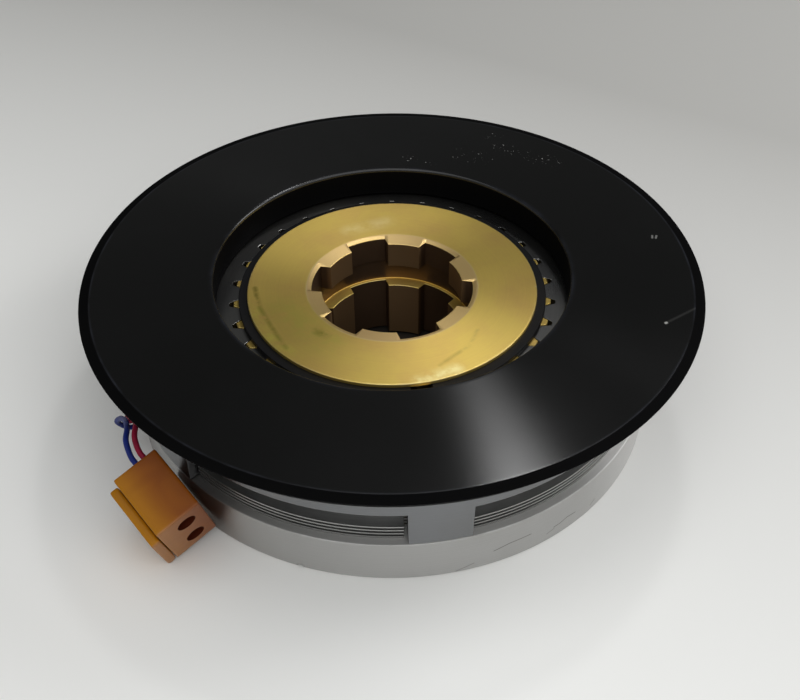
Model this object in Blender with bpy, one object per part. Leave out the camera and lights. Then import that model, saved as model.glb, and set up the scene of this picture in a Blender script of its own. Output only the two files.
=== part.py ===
"""A wet multi-plate electromagnetic clutch, standing on the back face of its magnet.

Metres, +Z up. The origin is the centre of the magnet's back face, on the clutch's axis.
A stationary magnet body holds a ring coil and a ball bearing. The bronze hub turns in the
bearing and drives the inner plates and the armature with its outside teeth. The outer
plates hang on six fingers of the carrier, which is fixed under the black drive flange.
"""

import math

import bmesh
import bpy
from mathutils import Euler, Matrix, Vector

MM = 0.001

# Clearances
SEAT_GAP = 0.3 * MM
RUN_GAP = 0.5 * MM
PLATE_GAP = 0.2 * MM
AIR_GAP = 0.9 * MM
CUT_PAST = 2.0 * MM

# Facets round a turned piece, along an arc, and along a lead's curve
FINE_STEPS = 60
BEARING_STEPS = 36
HOLE_STEPS = 16
SOCKET_STEPS = 20
SLOT_STEPS = 5
LAND_STEPS = 4
FINGER_STEPS = 2
PLATE_EDGE_STEPS = 9
WINDOW_STEPS = 12
ROUTE_STEPS = 12

# Magnet body
YOKE_RADIUS = 131.0 * MM
YOKE_HEIGHT = 23.4 * MM
YOKE_EDGE = 0.6 * MM
COIL_INNER_RADIUS = 97.0 * MM
COIL_OUTER_RADIUS = 116.0 * MM
COIL_FLOOR = 7.0 * MM
NOTCH_WIDTH = 3.0 * MM
NOTCH_HEIGHT = 1.6 * MM
NOTCH_AZIMUTH = 239.0

# Coil
BOBBIN_WALL = 1.4 * MM
SEAL_THICKNESS = 2.0 * MM
SEAL_RECESS = 0.4 * MM

# Ball bearing
BEARING_BORE_RADIUS = 55.0 * MM
BEARING_OUTER_RADIUS = 70.0 * MM
BEARING_WIDTH = 16.0 * MM
BEARING_BASE = 4.6 * MM
BALL_COUNT = 14
CAGE_HEIGHT = 3.0 * MM
CIRCLIP_THICKNESS = 1.6 * MM
CIRCLIP_OPENING = 14.0
HUB_CIRCLIP_TURN = 90.0
BEARING_CIRCLIP_TURN = 270.0

# Shares of the bearing's section, from its bore to its outside
RACE_SHARE = 0.293
BALL_SHARE = 0.26
CAGE_SHARE = 0.16
CIRCLIP_SHARE = 0.267
CIRCLIP_BITE_SHARE = 0.107
LIP_SHARE = 0.2
SHOULDER_SHARE = 0.333
TRACK_FLAT_SHARE = 0.333

# Hub
HUB_FACE_DEPTH = 12.0 * MM
HUB_FACE_STEP = 2.7 * MM
HUB_FACE_THICKNESS = 2.0 * MM
HUB_FOOT = 1.0 * MM
HUB_EDGE = 0.5 * MM
TOOTH_COUNT = 30
TOOTH_ROOT_RADIUS = 74.4 * MM
TOOTH_HEIGHT = 4.3 * MM
TOOTH_ROOT_HALF_ANGLE = 2.9
TOOTH_TIP_HALF_ANGLE = 1.3
TOOTH_TURN = 5.6
TOOTH_ROOT_CLEARANCE = 0.8 * MM
TOOTH_TIP_CLEARANCE = 2.2 * MM
TOOTH_SIDE_CLEARANCE = 0.5 * MM
SPLINE_COUNT = 6
SPLINE_MINOR_RADIUS = 35.0 * MM
SPLINE_MAJOR_RADIUS = 40.0 * MM
SPLINE_WIDTH = 20.0 * MM
SPLINE_TURN = 37.5
RELIEF_RADIUS = 41.5 * MM
UPPER_SPLINE_LENGTH = 15.0 * MM
RELIEF_LENGTH = 13.0 * MM
LEAD_IN_RADIUS = 43.0 * MM
LEAD_IN_DEPTH = 0.8 * MM

# Retaining ring over the armature
RETAINER_REACH = 4.4 * MM
RETAINER_THICKNESS = 2.6 * MM
RETAINER_GROOVE_DEPTH = 2.2 * MM
RETAINER_OPENING = 8.0
RETAINER_TURN = 268.0

# Plates
OUTER_PLATE_COUNT = 4
OUTER_PLATE_THICKNESS = 0.9 * MM
INNER_PLATE_THICKNESS = 0.8 * MM
OUTER_PLATE_SETBACK = 4.0 * MM
OUTER_PLATE_BORE_CLEARANCE = 3.6 * MM
INNER_PLATE_CLEARANCE = 1.5 * MM

# Armature
ARMATURE_RIM_SHARE = 0.52
ARMATURE_BOSS_WALL = 16.1 * MM
ARMATURE_BOSS_FLANK = 5.0 * MM
ARMATURE_BORE_STOCK = 2.0 * MM
ARMATURE_EDGE = 0.6 * MM

# Carrier
CARRIER_WALL = 10.0 * MM
FINGER_COUNT = 6
FINGER_HALF_ANGLE = 6.1
FINGER_TURN = 266.6
FINGER_SIDE_CLEARANCE = 1.8 * MM
WINDOW_SHARE = 0.457

# Drive flange
FLANGE_RADIUS = 150.0 * MM
FLANGE_HEIGHT = 74.0 * MM
FLANGE_RIM_THICKNESS = 8.0 * MM
FLANGE_HUB_THICKNESS = 15.5 * MM
FLANGE_BORE_CLEARANCE = 10.9 * MM
FLANGE_BORE_EDGE = 1.2 * MM
FLANGE_TOP_EDGE = 5.0 * MM
FLANGE_TOP_EDGE_DROP = 0.9 * MM
FLANGE_LAND = 0.4 * MM
FLANGE_UNDER_EDGE = 4.8 * MM
FLANGE_SPIGOT_EDGE = 1.0 * MM

# Terminal block
BLOCK_WIDTH = 22.1 * MM
BLOCK_LENGTH = 32.8 * MM
BLOCK_DEPTH = 36.8 * MM
BLOCK_CORNER = Vector((-125.7 * MM, -109.4 * MM, 34.7 * MM))
BLOCK_LEAN = (16.3, -16.7, 25.1)
BLOCK_EDGE = 1.0 * MM
SOCKET_RADIUS = 4.5 * MM
SOCKET_DEPTH = 22.0 * MM
SOCKET_PITCH = 17.0 * MM
SOCKET_PLACE = 0.58
BACK_PLATE_THICKNESS = 4.5 * MM
BACK_PLATE_STEP = 7.0 * MM

# Leads
LEAD_RADIUS = 1.3 * MM
LEAD_HOLE_RADIUS = 5.0 * MM
LEAD_HOLE_AZIMUTH = 187.0
LEAD_HOLE_HEIGHT = 12.0 * MM
LEAD_SPREAD = 4.2 * MM
LEAD_SPACING = 6.0 * MM
LEAD_HOLE_DEPTH = 3.0 * MM
GROMMET_LIP = 2.2 * MM
LEAD_ENTRY = Vector((14.1 * MM, BLOCK_LENGTH + SEAT_GAP, -6.0 * MM))
LEAD_STOPS = (
    Vector((-133.0 * MM, -60.8 * MM, 45.5 * MM)),
    Vector((-132.3 * MM, -53.0 * MM, 45.0 * MM)),
    Vector((-133.5 * MM, -42.0 * MM, 39.5 * MM)),
    Vector((-137.5 * MM, -28.0 * MM, 28.0 * MM)),
    Vector((-140.5 * MM, -19.5 * MM, 17.5 * MM)),
)

# Sizes that follow from the ones above
INNER_PLATE_COUNT = OUTER_PLATE_COUNT - 1
TOOTH_PITCH = 360.0 / TOOTH_COUNT
TOOTH_TIP_RADIUS = TOOTH_ROOT_RADIUS + TOOTH_HEIGHT
SPACE_INNER_RADIUS = TOOTH_ROOT_RADIUS + TOOTH_ROOT_CLEARANCE
SPACE_OUTER_RADIUS = TOOTH_TIP_RADIUS + TOOTH_TIP_CLEARANCE
HUB_FACE_RADIUS = TOOTH_ROOT_RADIUS - HUB_FACE_STEP
RETAINER_RADIUS = HUB_FACE_RADIUS + RETAINER_REACH
FLANGE_BORE_RADIUS = RETAINER_RADIUS + FLANGE_BORE_CLEARANCE
ARMATURE_BOSS_RADIUS = SPACE_OUTER_RADIUS + ARMATURE_BOSS_WALL
OUTER_PLATE_BORE_RADIUS = SPACE_OUTER_RADIUS + OUTER_PLATE_BORE_CLEARANCE
PLATE_PITCH = OUTER_PLATE_THICKNESS + INNER_PLATE_THICKNESS + 2 * PLATE_GAP
PACK_BASE = YOKE_HEIGHT + PLATE_GAP
PACK_TOP = PACK_BASE + INNER_PLATE_COUNT * PLATE_PITCH + OUTER_PLATE_THICKNESS
ARMATURE_BASE = PACK_TOP + AIR_GAP
HUB_FACE_HEIGHT = FLANGE_HEIGHT - HUB_FACE_DEPTH
RETAINER_TOP = HUB_FACE_HEIGHT - HUB_FACE_THICKNESS
RETAINER_BASE = RETAINER_TOP - RETAINER_THICKNESS
ARMATURE_TOP = RETAINER_BASE - SEAT_GAP
ARMATURE_RIM_TOP = ARMATURE_BASE + ARMATURE_RIM_SHARE * (ARMATURE_TOP - ARMATURE_BASE)
CARRIER_INNER_RADIUS = YOKE_RADIUS - CARRIER_WALL
OUTER_PLATE_RADIUS = YOKE_RADIUS - OUTER_PLATE_SETBACK
INNER_PLATE_RADIUS = CARRIER_INNER_RADIUS - INNER_PLATE_CLEARANCE
FLANGE_RIM_BASE = FLANGE_HEIGHT - FLANGE_RIM_THICKNESS
CARRIER_TOP = FLANGE_RIM_BASE - SEAT_GAP
FINGER_BASE = YOKE_HEIGHT + RUN_GAP
WINDOW_TOP = FINGER_BASE + WINDOW_SHARE * (CARRIER_TOP - FINGER_BASE)
BEARING_SECTION = BEARING_OUTER_RADIUS - BEARING_BORE_RADIUS
RACE_THICKNESS = RACE_SHARE * BEARING_SECTION
BALL_RADIUS = BALL_SHARE * BEARING_SECTION
CAGE_THICKNESS = CAGE_SHARE * BEARING_SECTION
CIRCLIP_HEIGHT = CIRCLIP_SHARE * BEARING_SECTION
CIRCLIP_BITE = CIRCLIP_BITE_SHARE * BEARING_SECTION
BEARING_LIP = LIP_SHARE * BEARING_SECTION
HUB_SHOULDER_RADIUS = BEARING_BORE_RADIUS + SHOULDER_SHARE * BEARING_SECTION
BEARING_TOP = BEARING_BASE + BEARING_WIDTH
BALL_PITCH_RADIUS = (BEARING_BORE_RADIUS + BEARING_OUTER_RADIUS) / 2
BALL_HEIGHT = BEARING_BASE + BEARING_WIDTH / 2
CIRCLIP_BASE = BEARING_BASE - SEAT_GAP - CIRCLIP_THICKNESS
LEAD_POINT_SPACING = 5 * LEAD_RADIUS


def empty(name, place=(0, 0, 0), turn=(0, 0, 0), parent=None):
    """A frame that pieces are parented to."""
    frame = bpy.data.objects.new(name, None)
    frame.location = place
    frame.rotation_euler = [math.radians(angle) for angle in turn]
    frame.parent = parent
    bpy.context.scene.collection.objects.link(frame)
    return frame


def material(name, colour, roughness, metallic):
    """A plain Principled finish."""
    finish = bpy.data.materials.new(name)
    finish.use_nodes = True
    shader = finish.node_tree.nodes["Principled BSDF"]
    shader.inputs["Base Color"].default_value = (*colour, 1)
    shader.inputs["Roughness"].default_value = roughness
    shader.inputs["Metallic"].default_value = metallic
    finish.diffuse_color = (*colour, 1)
    return finish


def piece(name, mesh, finish=None, parent=None):
    """An object for a mesh, shaded smooth with its edges kept sharp."""
    mesh.shade_smooth()
    mesh.set_sharp_from_angle(angle=math.radians(30))
    made = bpy.data.objects.new(name, mesh)
    made.parent = parent
    if finish:
        mesh.materials.append(finish)
    bpy.context.scene.collection.objects.link(made)
    return made


def turned(name, profile, steps, finish=None, parent=None):
    """A ring: a closed profile of (radius, height) points spun about Z."""
    shape = bmesh.new()
    points = [shape.verts.new((radius, 0, height)) for radius, height in profile]
    edges = [shape.edges.new((a, b)) for a, b in zip(points, points[1:] + points[:1])]
    bmesh.ops.spin(
        shape, geom=points + edges, cent=(0, 0, 0), axis=(0, 0, 1), angle=math.tau, steps=steps
    )
    bmesh.ops.remove_doubles(shape, verts=shape.verts, dist=1e-6)
    bmesh.ops.recalc_face_normals(shape, faces=shape.faces)
    mesh = bpy.data.meshes.new(name)
    shape.to_mesh(mesh)
    shape.free()
    return piece(name, mesh, finish, parent)


def extruded(name, outlines, base, top, finish=None, parent=None):
    """A flat plate between two heights: the first outline is its edge, others are holes or islands."""
    curve = bpy.data.curves.new(name + "_outline", "CURVE")
    curve.dimensions = "2D"
    curve.fill_mode = "BOTH"
    curve.extrude = (top - base) / 2
    for outline in outlines:
        spline = curve.splines.new("POLY")
        spline.points.add(len(outline) - 1)
        for point, (x, y) in zip(spline.points, outline):
            point.co = (x, y, 0, 1)
        spline.use_cyclic_u = True
    drawn = bpy.data.objects.new(name + "_outline", curve)
    mesh = bpy.data.meshes.new_from_object(drawn)
    bpy.data.objects.remove(drawn)
    shape = bmesh.new()
    shape.from_mesh(mesh)
    bmesh.ops.remove_doubles(shape, verts=shape.verts, dist=1e-6)
    bmesh.ops.translate(shape, verts=shape.verts, vec=(0, 0, (base + top) / 2))
    bmesh.ops.recalc_face_normals(shape, faces=shape.faces)
    shape.to_mesh(mesh)
    shape.free()
    mesh.name = name
    return piece(name, mesh, finish, parent)


def cut(target, cutter):
    """Takes the cutter's shape out of the target, and keeps the cutter as a hidden guide."""
    cutter.hide_render = True
    cutter.display_type = "WIRE"
    difference = target.modifiers.new("cut_" + cutter.name, "BOOLEAN")
    difference.operation = "DIFFERENCE"
    difference.object = cutter


def polar(radius, azimuth):
    """A point at an azimuth in degrees."""
    return radius * math.cos(math.radians(azimuth)), radius * math.sin(math.radians(azimuth))


def arc(radius, start, end, steps):
    """Points along an arc between two azimuths, both ends included."""
    return [polar(radius, start + (end - start) * step / steps) for step in range(steps + 1)]


def circle(radius, steps):
    """A closed circle."""
    return arc(radius, 0, 360, steps)[:-1]


def toothed(inner, inner_half, outer, outer_half):
    """A closed outline of teeth that are wide at the inner radius and narrow at the outer one."""
    outline = []
    for tooth in range(TOOTH_COUNT):
        middle = TOOTH_TURN + tooth * TOOTH_PITCH
        outline.append(polar(inner, middle - inner_half))
        outline.append(polar(outer, middle - outer_half))
        outline.append(polar(outer, middle + outer_half))
        outline.append(polar(inner, middle + inner_half))
    return outline


def hub_teeth_outline():
    """The hub's teeth."""
    return toothed(
        TOOTH_ROOT_RADIUS, TOOTH_ROOT_HALF_ANGLE, TOOTH_TIP_RADIUS, TOOTH_TIP_HALF_ANGLE
    )


def tooth_spaces_outline():
    """The spaces that the hub's teeth run in, cut in the armature and the inner plates."""
    taper = (TOOTH_ROOT_HALF_ANGLE - TOOTH_TIP_HALF_ANGLE) / (TOOTH_TIP_RADIUS - TOOTH_ROOT_RADIUS)
    clear = math.degrees(TOOTH_SIDE_CLEARANCE / TOOTH_ROOT_RADIUS)
    inner_half = TOOTH_ROOT_HALF_ANGLE + clear - taper * (SPACE_INNER_RADIUS - TOOTH_ROOT_RADIUS)
    outer_half = TOOTH_ROOT_HALF_ANGLE + clear - taper * (SPACE_OUTER_RADIUS - TOOTH_ROOT_RADIUS)
    return toothed(SPACE_INNER_RADIUS, inner_half, SPACE_OUTER_RADIUS, outer_half)


def spline_outline():
    """The shaft spline in the hub's bore: parallel-sided slots between the minor and major circles."""
    minor_half = math.degrees(math.asin(SPLINE_WIDTH / 2 / SPLINE_MINOR_RADIUS))
    major_half = math.degrees(math.asin(SPLINE_WIDTH / 2 / SPLINE_MAJOR_RADIUS))
    pitch = 360 / SPLINE_COUNT
    outline = []
    for slot in range(SPLINE_COUNT):
        middle = SPLINE_TURN + slot * pitch
        outline += arc(SPLINE_MAJOR_RADIUS, middle - major_half, middle + major_half, SLOT_STEPS)
        outline += arc(
            SPLINE_MINOR_RADIUS, middle + minor_half, middle + pitch - minor_half, LAND_STEPS
        )
    return outline


def sector(inner, outer, start, end, steps):
    """A piece of a ring between two azimuths."""
    return arc(outer, start, end, steps) + arc(inner, end, start, steps)


def notched_outline(radius, notch_radius, notch_half):
    """A plate's edge with one notch for each finger of the carrier."""
    pitch = 360 / FINGER_COUNT
    outline = []
    for finger in range(FINGER_COUNT):
        middle = FINGER_TURN + finger * pitch
        outline += arc(notch_radius, middle - notch_half, middle + notch_half, FINGER_STEPS)
        outline += arc(radius, middle + notch_half, middle + pitch - notch_half, PLATE_EDGE_STEPS)
    return outline


def build_magnet(parent, steel):
    """The magnet body: a turned ring with the coil's channel, the bearing's seat and a ring groove."""
    seat = BEARING_OUTER_RADIUS + SEAT_GAP
    groove = seat + CIRCLIP_BITE
    profile = [
        (seat, 0),
        (YOKE_RADIUS - YOKE_EDGE, 0),
        (YOKE_RADIUS, YOKE_EDGE),
        (YOKE_RADIUS, YOKE_HEIGHT - YOKE_EDGE),
        (YOKE_RADIUS - YOKE_EDGE, YOKE_HEIGHT),
        (COIL_OUTER_RADIUS, YOKE_HEIGHT),
        (COIL_OUTER_RADIUS, COIL_FLOOR),
        (COIL_INNER_RADIUS, COIL_FLOOR),
        (COIL_INNER_RADIUS, YOKE_HEIGHT),
        (seat - BEARING_LIP, YOKE_HEIGHT),
        (seat - BEARING_LIP, BEARING_TOP + SEAT_GAP),
        (seat, BEARING_TOP + SEAT_GAP),
        (seat, BEARING_BASE - SEAT_GAP / 2),
        (groove, BEARING_BASE - SEAT_GAP / 2),
        (groove, BEARING_BASE - 2 * SEAT_GAP - CIRCLIP_THICKNESS),
        (seat, BEARING_BASE - 2 * SEAT_GAP - CIRCLIP_THICKNESS),
    ]
    yoke = turned("magnet_yoke", profile, FINE_STEPS, steel, parent)

    hole = turned_bar(
        "lead_hole_cutter", LEAD_HOLE_RADIUS, COIL_OUTER_RADIUS - CUT_PAST, YOKE_RADIUS + CUT_PAST
    )
    cut(yoke, hole)

    half = math.degrees(NOTCH_WIDTH / 2 / YOKE_RADIUS)
    notch_outline = sector(
        YOKE_RADIUS - NOTCH_WIDTH, YOKE_RADIUS + CUT_PAST, NOTCH_AZIMUTH - half, NOTCH_AZIMUTH + half, 1
    )
    cut(yoke, extruded("notch_cutter", [notch_outline], -CUT_PAST, NOTCH_HEIGHT))


def lead_frame():
    """The matrix of the lead hole: X runs outwards along it, at its azimuth and height."""
    turn = Matrix.Rotation(math.radians(LEAD_HOLE_AZIMUTH), 4, "Z")
    return Matrix.Translation((0, 0, LEAD_HOLE_HEIGHT)) @ turn


def turned_bar(name, radius, start, end, finish=None, parent=None):
    """A round bar along the lead hole, between two distances from the clutch's axis."""
    shape = bmesh.new()
    bmesh.ops.create_cone(
        shape, cap_ends=True, segments=HOLE_STEPS, radius1=radius, radius2=radius, depth=end - start
    )
    lay = Matrix.Translation(((start + end) / 2, 0, 0)) @ Matrix.Rotation(math.pi / 2, 4, "Y")
    bmesh.ops.transform(shape, matrix=lead_frame() @ lay, verts=shape.verts)
    mesh = bpy.data.meshes.new(name)
    shape.to_mesh(mesh)
    shape.free()
    return piece(name, mesh, finish, parent)


def build_coil(parent, plastic, copper, resin):
    """The coil: a channel-shaped bobbin, its winding, and the resin ring that seals it flush."""
    inner = COIL_INNER_RADIUS + SEAT_GAP
    outer = COIL_OUTER_RADIUS - SEAT_GAP
    floor = COIL_FLOOR + SEAT_GAP
    seal_top = YOKE_HEIGHT - SEAL_RECESS
    seal_base = seal_top - SEAL_THICKNESS
    rim = seal_base - SEAT_GAP
    bobbin = [
        (inner, floor),
        (outer, floor),
        (outer, rim),
        (outer - BOBBIN_WALL, rim),
        (outer - BOBBIN_WALL, floor + BOBBIN_WALL),
        (inner + BOBBIN_WALL, floor + BOBBIN_WALL),
        (inner + BOBBIN_WALL, rim),
        (inner, rim),
    ]
    turned("coil_bobbin", bobbin, FINE_STEPS, plastic, parent)
    wound_inner = inner + BOBBIN_WALL + SEAT_GAP
    wound_outer = outer - BOBBIN_WALL - SEAT_GAP
    wound_base = floor + BOBBIN_WALL + SEAT_GAP
    winding = [
        (wound_inner, wound_base),
        (wound_outer, wound_base),
        (wound_outer, rim),
        (wound_inner, rim),
    ]
    turned("coil_winding", winding, FINE_STEPS, copper, parent)
    seal = [(inner, seal_base), (outer, seal_base), (outer, seal_top), (inner, seal_top)]
    turned("coil_seal_ring", seal, FINE_STEPS, resin, parent)


def race(wall, far, base, top):
    """A race's profile: a ring with a ball track round its working face."""
    side = 1 if far > wall else -1
    track = BALL_RADIUS + RUN_GAP
    face = far
    depth = track - abs(BALL_PITCH_RADIUS - face)
    half = math.sqrt(track**2 - (track - depth) ** 2)
    middle = (base + top) / 2
    profile = [
        (wall, base),
        (face, base),
        (face, middle - half),
        (face - side * depth, middle - TRACK_FLAT_SHARE * half),
        (face - side * depth, middle + TRACK_FLAT_SHARE * half),
        (face, middle + half),
        (face, top),
        (wall, top),
    ]
    return profile


def build_bearing(stator, rotor, cage_parent, steel, brass):
    """A deep-groove ball bearing: two races with ball tracks, and the balls in their cage."""
    inner_wall = BEARING_BORE_RADIUS
    inner_face = inner_wall + RACE_THICKNESS
    outer_wall = BEARING_OUTER_RADIUS
    outer_face = outer_wall - RACE_THICKNESS
    turned(
        "bearing_inner_race",
        race(inner_wall, inner_face, BEARING_BASE, BEARING_TOP),
        BEARING_STEPS, steel, rotor,
    )
    turned(
        "bearing_outer_race",
        race(outer_wall, outer_face, BEARING_BASE, BEARING_TOP),
        BEARING_STEPS, steel, stator,
    )
    half_thickness = CAGE_THICKNESS / 2
    half_height = CAGE_HEIGHT / 2
    cage = turned(
        "bearing_balls_and_cage",
        [
            (BALL_PITCH_RADIUS - half_thickness, BALL_HEIGHT - half_height),
            (BALL_PITCH_RADIUS + half_thickness, BALL_HEIGHT - half_height),
            (BALL_PITCH_RADIUS + half_thickness, BALL_HEIGHT + half_height),
            (BALL_PITCH_RADIUS - half_thickness, BALL_HEIGHT + half_height),
        ],
        BEARING_STEPS, brass, cage_parent,
    )
    shape = bmesh.new()
    for ball in range(BALL_COUNT):
        x, y = polar(BALL_PITCH_RADIUS, 360 * ball / BALL_COUNT)
        bmesh.ops.create_icosphere(
            shape, subdivisions=1, radius=BALL_RADIUS, matrix=Matrix.Translation((x, y, BALL_HEIGHT))
        )
    mesh = bpy.data.meshes.new("bearing_balls")
    shape.to_mesh(mesh)
    shape.free()
    balls = piece("bearing_balls", mesh)
    balls.hide_render = True
    balls.display_type = "WIRE"
    joined = cage.modifiers.new("balls", "BOOLEAN")
    joined.operation = "UNION"
    joined.object = balls


def split_ring(name, inner, outer, base, thickness, opening, middle, finish, parent):
    """A snap ring of flat steel with a gap of so many degrees."""
    outline = sector(inner, outer, middle + opening / 2, middle + 360 - opening / 2, BEARING_STEPS)
    return extruded(name, [outline], base, base + thickness, finish, parent)


def build_hub(parent, bronze, black, steel):
    """The hub: a turned bronze sleeve with outside teeth, a splined bore and a ring groove."""
    face = HUB_FACE_HEIGHT
    groove_radius = HUB_FACE_RADIUS - RETAINER_GROOVE_DEPTH
    journal = BEARING_BORE_RADIUS - SEAT_GAP
    shoulder = BEARING_TOP + SEAT_GAP
    teeth_base = YOKE_HEIGHT + RUN_GAP
    clip_top = BEARING_BASE - SEAT_GAP / 2
    clip_base = CIRCLIP_BASE - SEAT_GAP / 2
    relief_top = face - UPPER_SPLINE_LENGTH
    relief_base = relief_top - RELIEF_LENGTH
    edge = HUB_EDGE
    profile = [
        (SPLINE_MINOR_RADIUS, HUB_FOOT),
        (journal - edge, HUB_FOOT),
        (journal, HUB_FOOT + edge),
        (journal, clip_base),
        (journal - CIRCLIP_BITE, clip_base),
        (journal - CIRCLIP_BITE, clip_top),
        (journal, clip_top),
        (journal, shoulder),
        (HUB_SHOULDER_RADIUS, shoulder),
        (HUB_SHOULDER_RADIUS, teeth_base),
        (TOOTH_TIP_RADIUS + edge, teeth_base),
        (TOOTH_TIP_RADIUS + edge, RETAINER_BASE - SEAT_GAP / 2),
        (groove_radius, RETAINER_BASE - SEAT_GAP / 2),
        (groove_radius, RETAINER_TOP + SEAT_GAP / 2),
        (HUB_FACE_RADIUS, RETAINER_TOP + SEAT_GAP / 2),
        (HUB_FACE_RADIUS, face - edge),
        (HUB_FACE_RADIUS - edge, face),
        (LEAD_IN_RADIUS, face),
        (SPLINE_MINOR_RADIUS, face - LEAD_IN_DEPTH),
        (SPLINE_MINOR_RADIUS, relief_top),
        (RELIEF_RADIUS, relief_top),
        (RELIEF_RADIUS, relief_base),
        (SPLINE_MINOR_RADIUS, relief_base),
    ]
    hub = turned("splined_hub", profile, FINE_STEPS, bronze, parent)
    spaces = extruded(
        "tooth_space_cutter",
        [circle(TOOTH_TIP_RADIUS + CUT_PAST, FINE_STEPS), hub_teeth_outline()],
        teeth_base - RUN_GAP,
        RETAINER_BASE - SEAT_GAP / 4,
    )
    cut(hub, spaces)
    cut(hub, extruded("spline_cutter", [spline_outline()], HUB_FOOT - CUT_PAST, face + CUT_PAST))

    split_ring(
        "armature_retaining_ring",
        groove_radius + SEAT_GAP, RETAINER_RADIUS,
        RETAINER_BASE, RETAINER_THICKNESS,
        RETAINER_OPENING, RETAINER_TURN, black, parent,
    )
    split_ring(
        "hub_circlip",
        journal - CIRCLIP_BITE + SEAT_GAP, journal + CIRCLIP_HEIGHT - CIRCLIP_BITE,
        CIRCLIP_BASE, CIRCLIP_THICKNESS,
        CIRCLIP_OPENING, HUB_CIRCLIP_TURN, steel, parent,
    )


def build_bearing_circlip(parent, steel):
    """The snap ring in the magnet body that holds the bearing's outer race."""
    seat = BEARING_OUTER_RADIUS + SEAT_GAP
    split_ring(
        "bearing_circlip",
        seat + CIRCLIP_BITE - SEAT_GAP - CIRCLIP_HEIGHT, seat + CIRCLIP_BITE - SEAT_GAP,
        CIRCLIP_BASE, CIRCLIP_THICKNESS,
        CIRCLIP_OPENING, BEARING_CIRCLIP_TURN, steel, parent,
    )


def build_plates(hub, carrier, steel, lining):
    """The plate pack: outer plates notched for the fingers, inner plates toothed for the hub."""
    finger_clear = math.degrees(FINGER_SIDE_CLEARANCE / CARRIER_INNER_RADIUS)
    outer_edge = notched_outline(
        OUTER_PLATE_RADIUS, CARRIER_INNER_RADIUS - SEAT_GAP, FINGER_HALF_ANGLE + finger_clear
    )
    outer_bore = circle(OUTER_PLATE_BORE_RADIUS, FINE_STEPS)
    for number in range(OUTER_PLATE_COUNT):
        base = PACK_BASE + number * PLATE_PITCH
        extruded(
            f"outer_plate_{number + 1}", [outer_edge, outer_bore],
            base, base + OUTER_PLATE_THICKNESS, steel, carrier,
        )
    inner_edge = circle(INNER_PLATE_RADIUS, FINE_STEPS)
    for number in range(INNER_PLATE_COUNT):
        base = PACK_BASE + OUTER_PLATE_THICKNESS + PLATE_GAP + number * PLATE_PITCH
        extruded(
            f"inner_plate_{number + 1}", [inner_edge, tooth_spaces_outline()],
            base, base + INNER_PLATE_THICKNESS, lining, hub,
        )


def build_armature(parent, steel):
    """The armature: a turned disc with a raised boss, toothed inside for the hub."""
    rim_top = ARMATURE_RIM_TOP
    bore = TOOTH_ROOT_RADIUS - ARMATURE_BORE_STOCK
    edge = ARMATURE_EDGE
    profile = [
        (bore, ARMATURE_BASE),
        (INNER_PLATE_RADIUS - edge, ARMATURE_BASE),
        (INNER_PLATE_RADIUS, ARMATURE_BASE + edge),
        (INNER_PLATE_RADIUS, rim_top - edge),
        (INNER_PLATE_RADIUS - edge, rim_top),
        (ARMATURE_BOSS_RADIUS + ARMATURE_BOSS_FLANK, rim_top),
        (ARMATURE_BOSS_RADIUS, ARMATURE_TOP - edge),
        (ARMATURE_BOSS_RADIUS - edge, ARMATURE_TOP),
        (bore, ARMATURE_TOP),
    ]
    armature = turned("armature_plate", profile, FINE_STEPS, steel, parent)
    spaces = extruded(
        "armature_space_cutter", [tooth_spaces_outline()],
        ARMATURE_BASE - CUT_PAST, ARMATURE_TOP + CUT_PAST,
    )
    cut(armature, spaces)


def build_carrier(parent, steel, black):
    """The outer carrier: a steel ring with six fingers, on the spigot of the black drive flange."""
    inner = CARRIER_INNER_RADIUS
    outer = YOKE_RADIUS
    profile = [(inner, FINGER_BASE), (outer, FINGER_BASE), (outer, CARRIER_TOP), (inner, CARRIER_TOP)]
    carrier = turned("finger_carrier", profile, FINE_STEPS, steel, parent)
    pitch = 360 / FINGER_COUNT
    windows = [
        sector(
            inner - CUT_PAST, outer + CUT_PAST,
            FINGER_TURN + finger * pitch + FINGER_HALF_ANGLE,
            FINGER_TURN + (finger + 1) * pitch - FINGER_HALF_ANGLE, WINDOW_STEPS,
        )
        for finger in range(FINGER_COUNT)
    ]
    cut(carrier, extruded("window_cutter", windows, FINGER_BASE - CUT_PAST, WINDOW_TOP))

    spigot = inner - SEAT_GAP
    under = FLANGE_RIM_BASE
    hub_under = FLANGE_HEIGHT - FLANGE_HUB_THICKNESS
    bore = FLANGE_BORE_RADIUS
    rim_low = FLANGE_HEIGHT - FLANGE_TOP_EDGE_DROP - FLANGE_LAND
    flange = [
        (bore, hub_under),
        (spigot - FLANGE_SPIGOT_EDGE, hub_under),
        (spigot, hub_under + FLANGE_SPIGOT_EDGE),
        (spigot, under),
        (FLANGE_RADIUS - FLANGE_UNDER_EDGE, under),
        (FLANGE_RADIUS, rim_low),
        (FLANGE_RADIUS, rim_low + FLANGE_LAND),
        (FLANGE_RADIUS - FLANGE_TOP_EDGE, FLANGE_HEIGHT),
        (bore + FLANGE_BORE_EDGE, FLANGE_HEIGHT),
        (bore, FLANGE_HEIGHT - FLANGE_BORE_EDGE),
    ]
    turned("drive_flange", flange, FINE_STEPS, black, parent)


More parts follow.
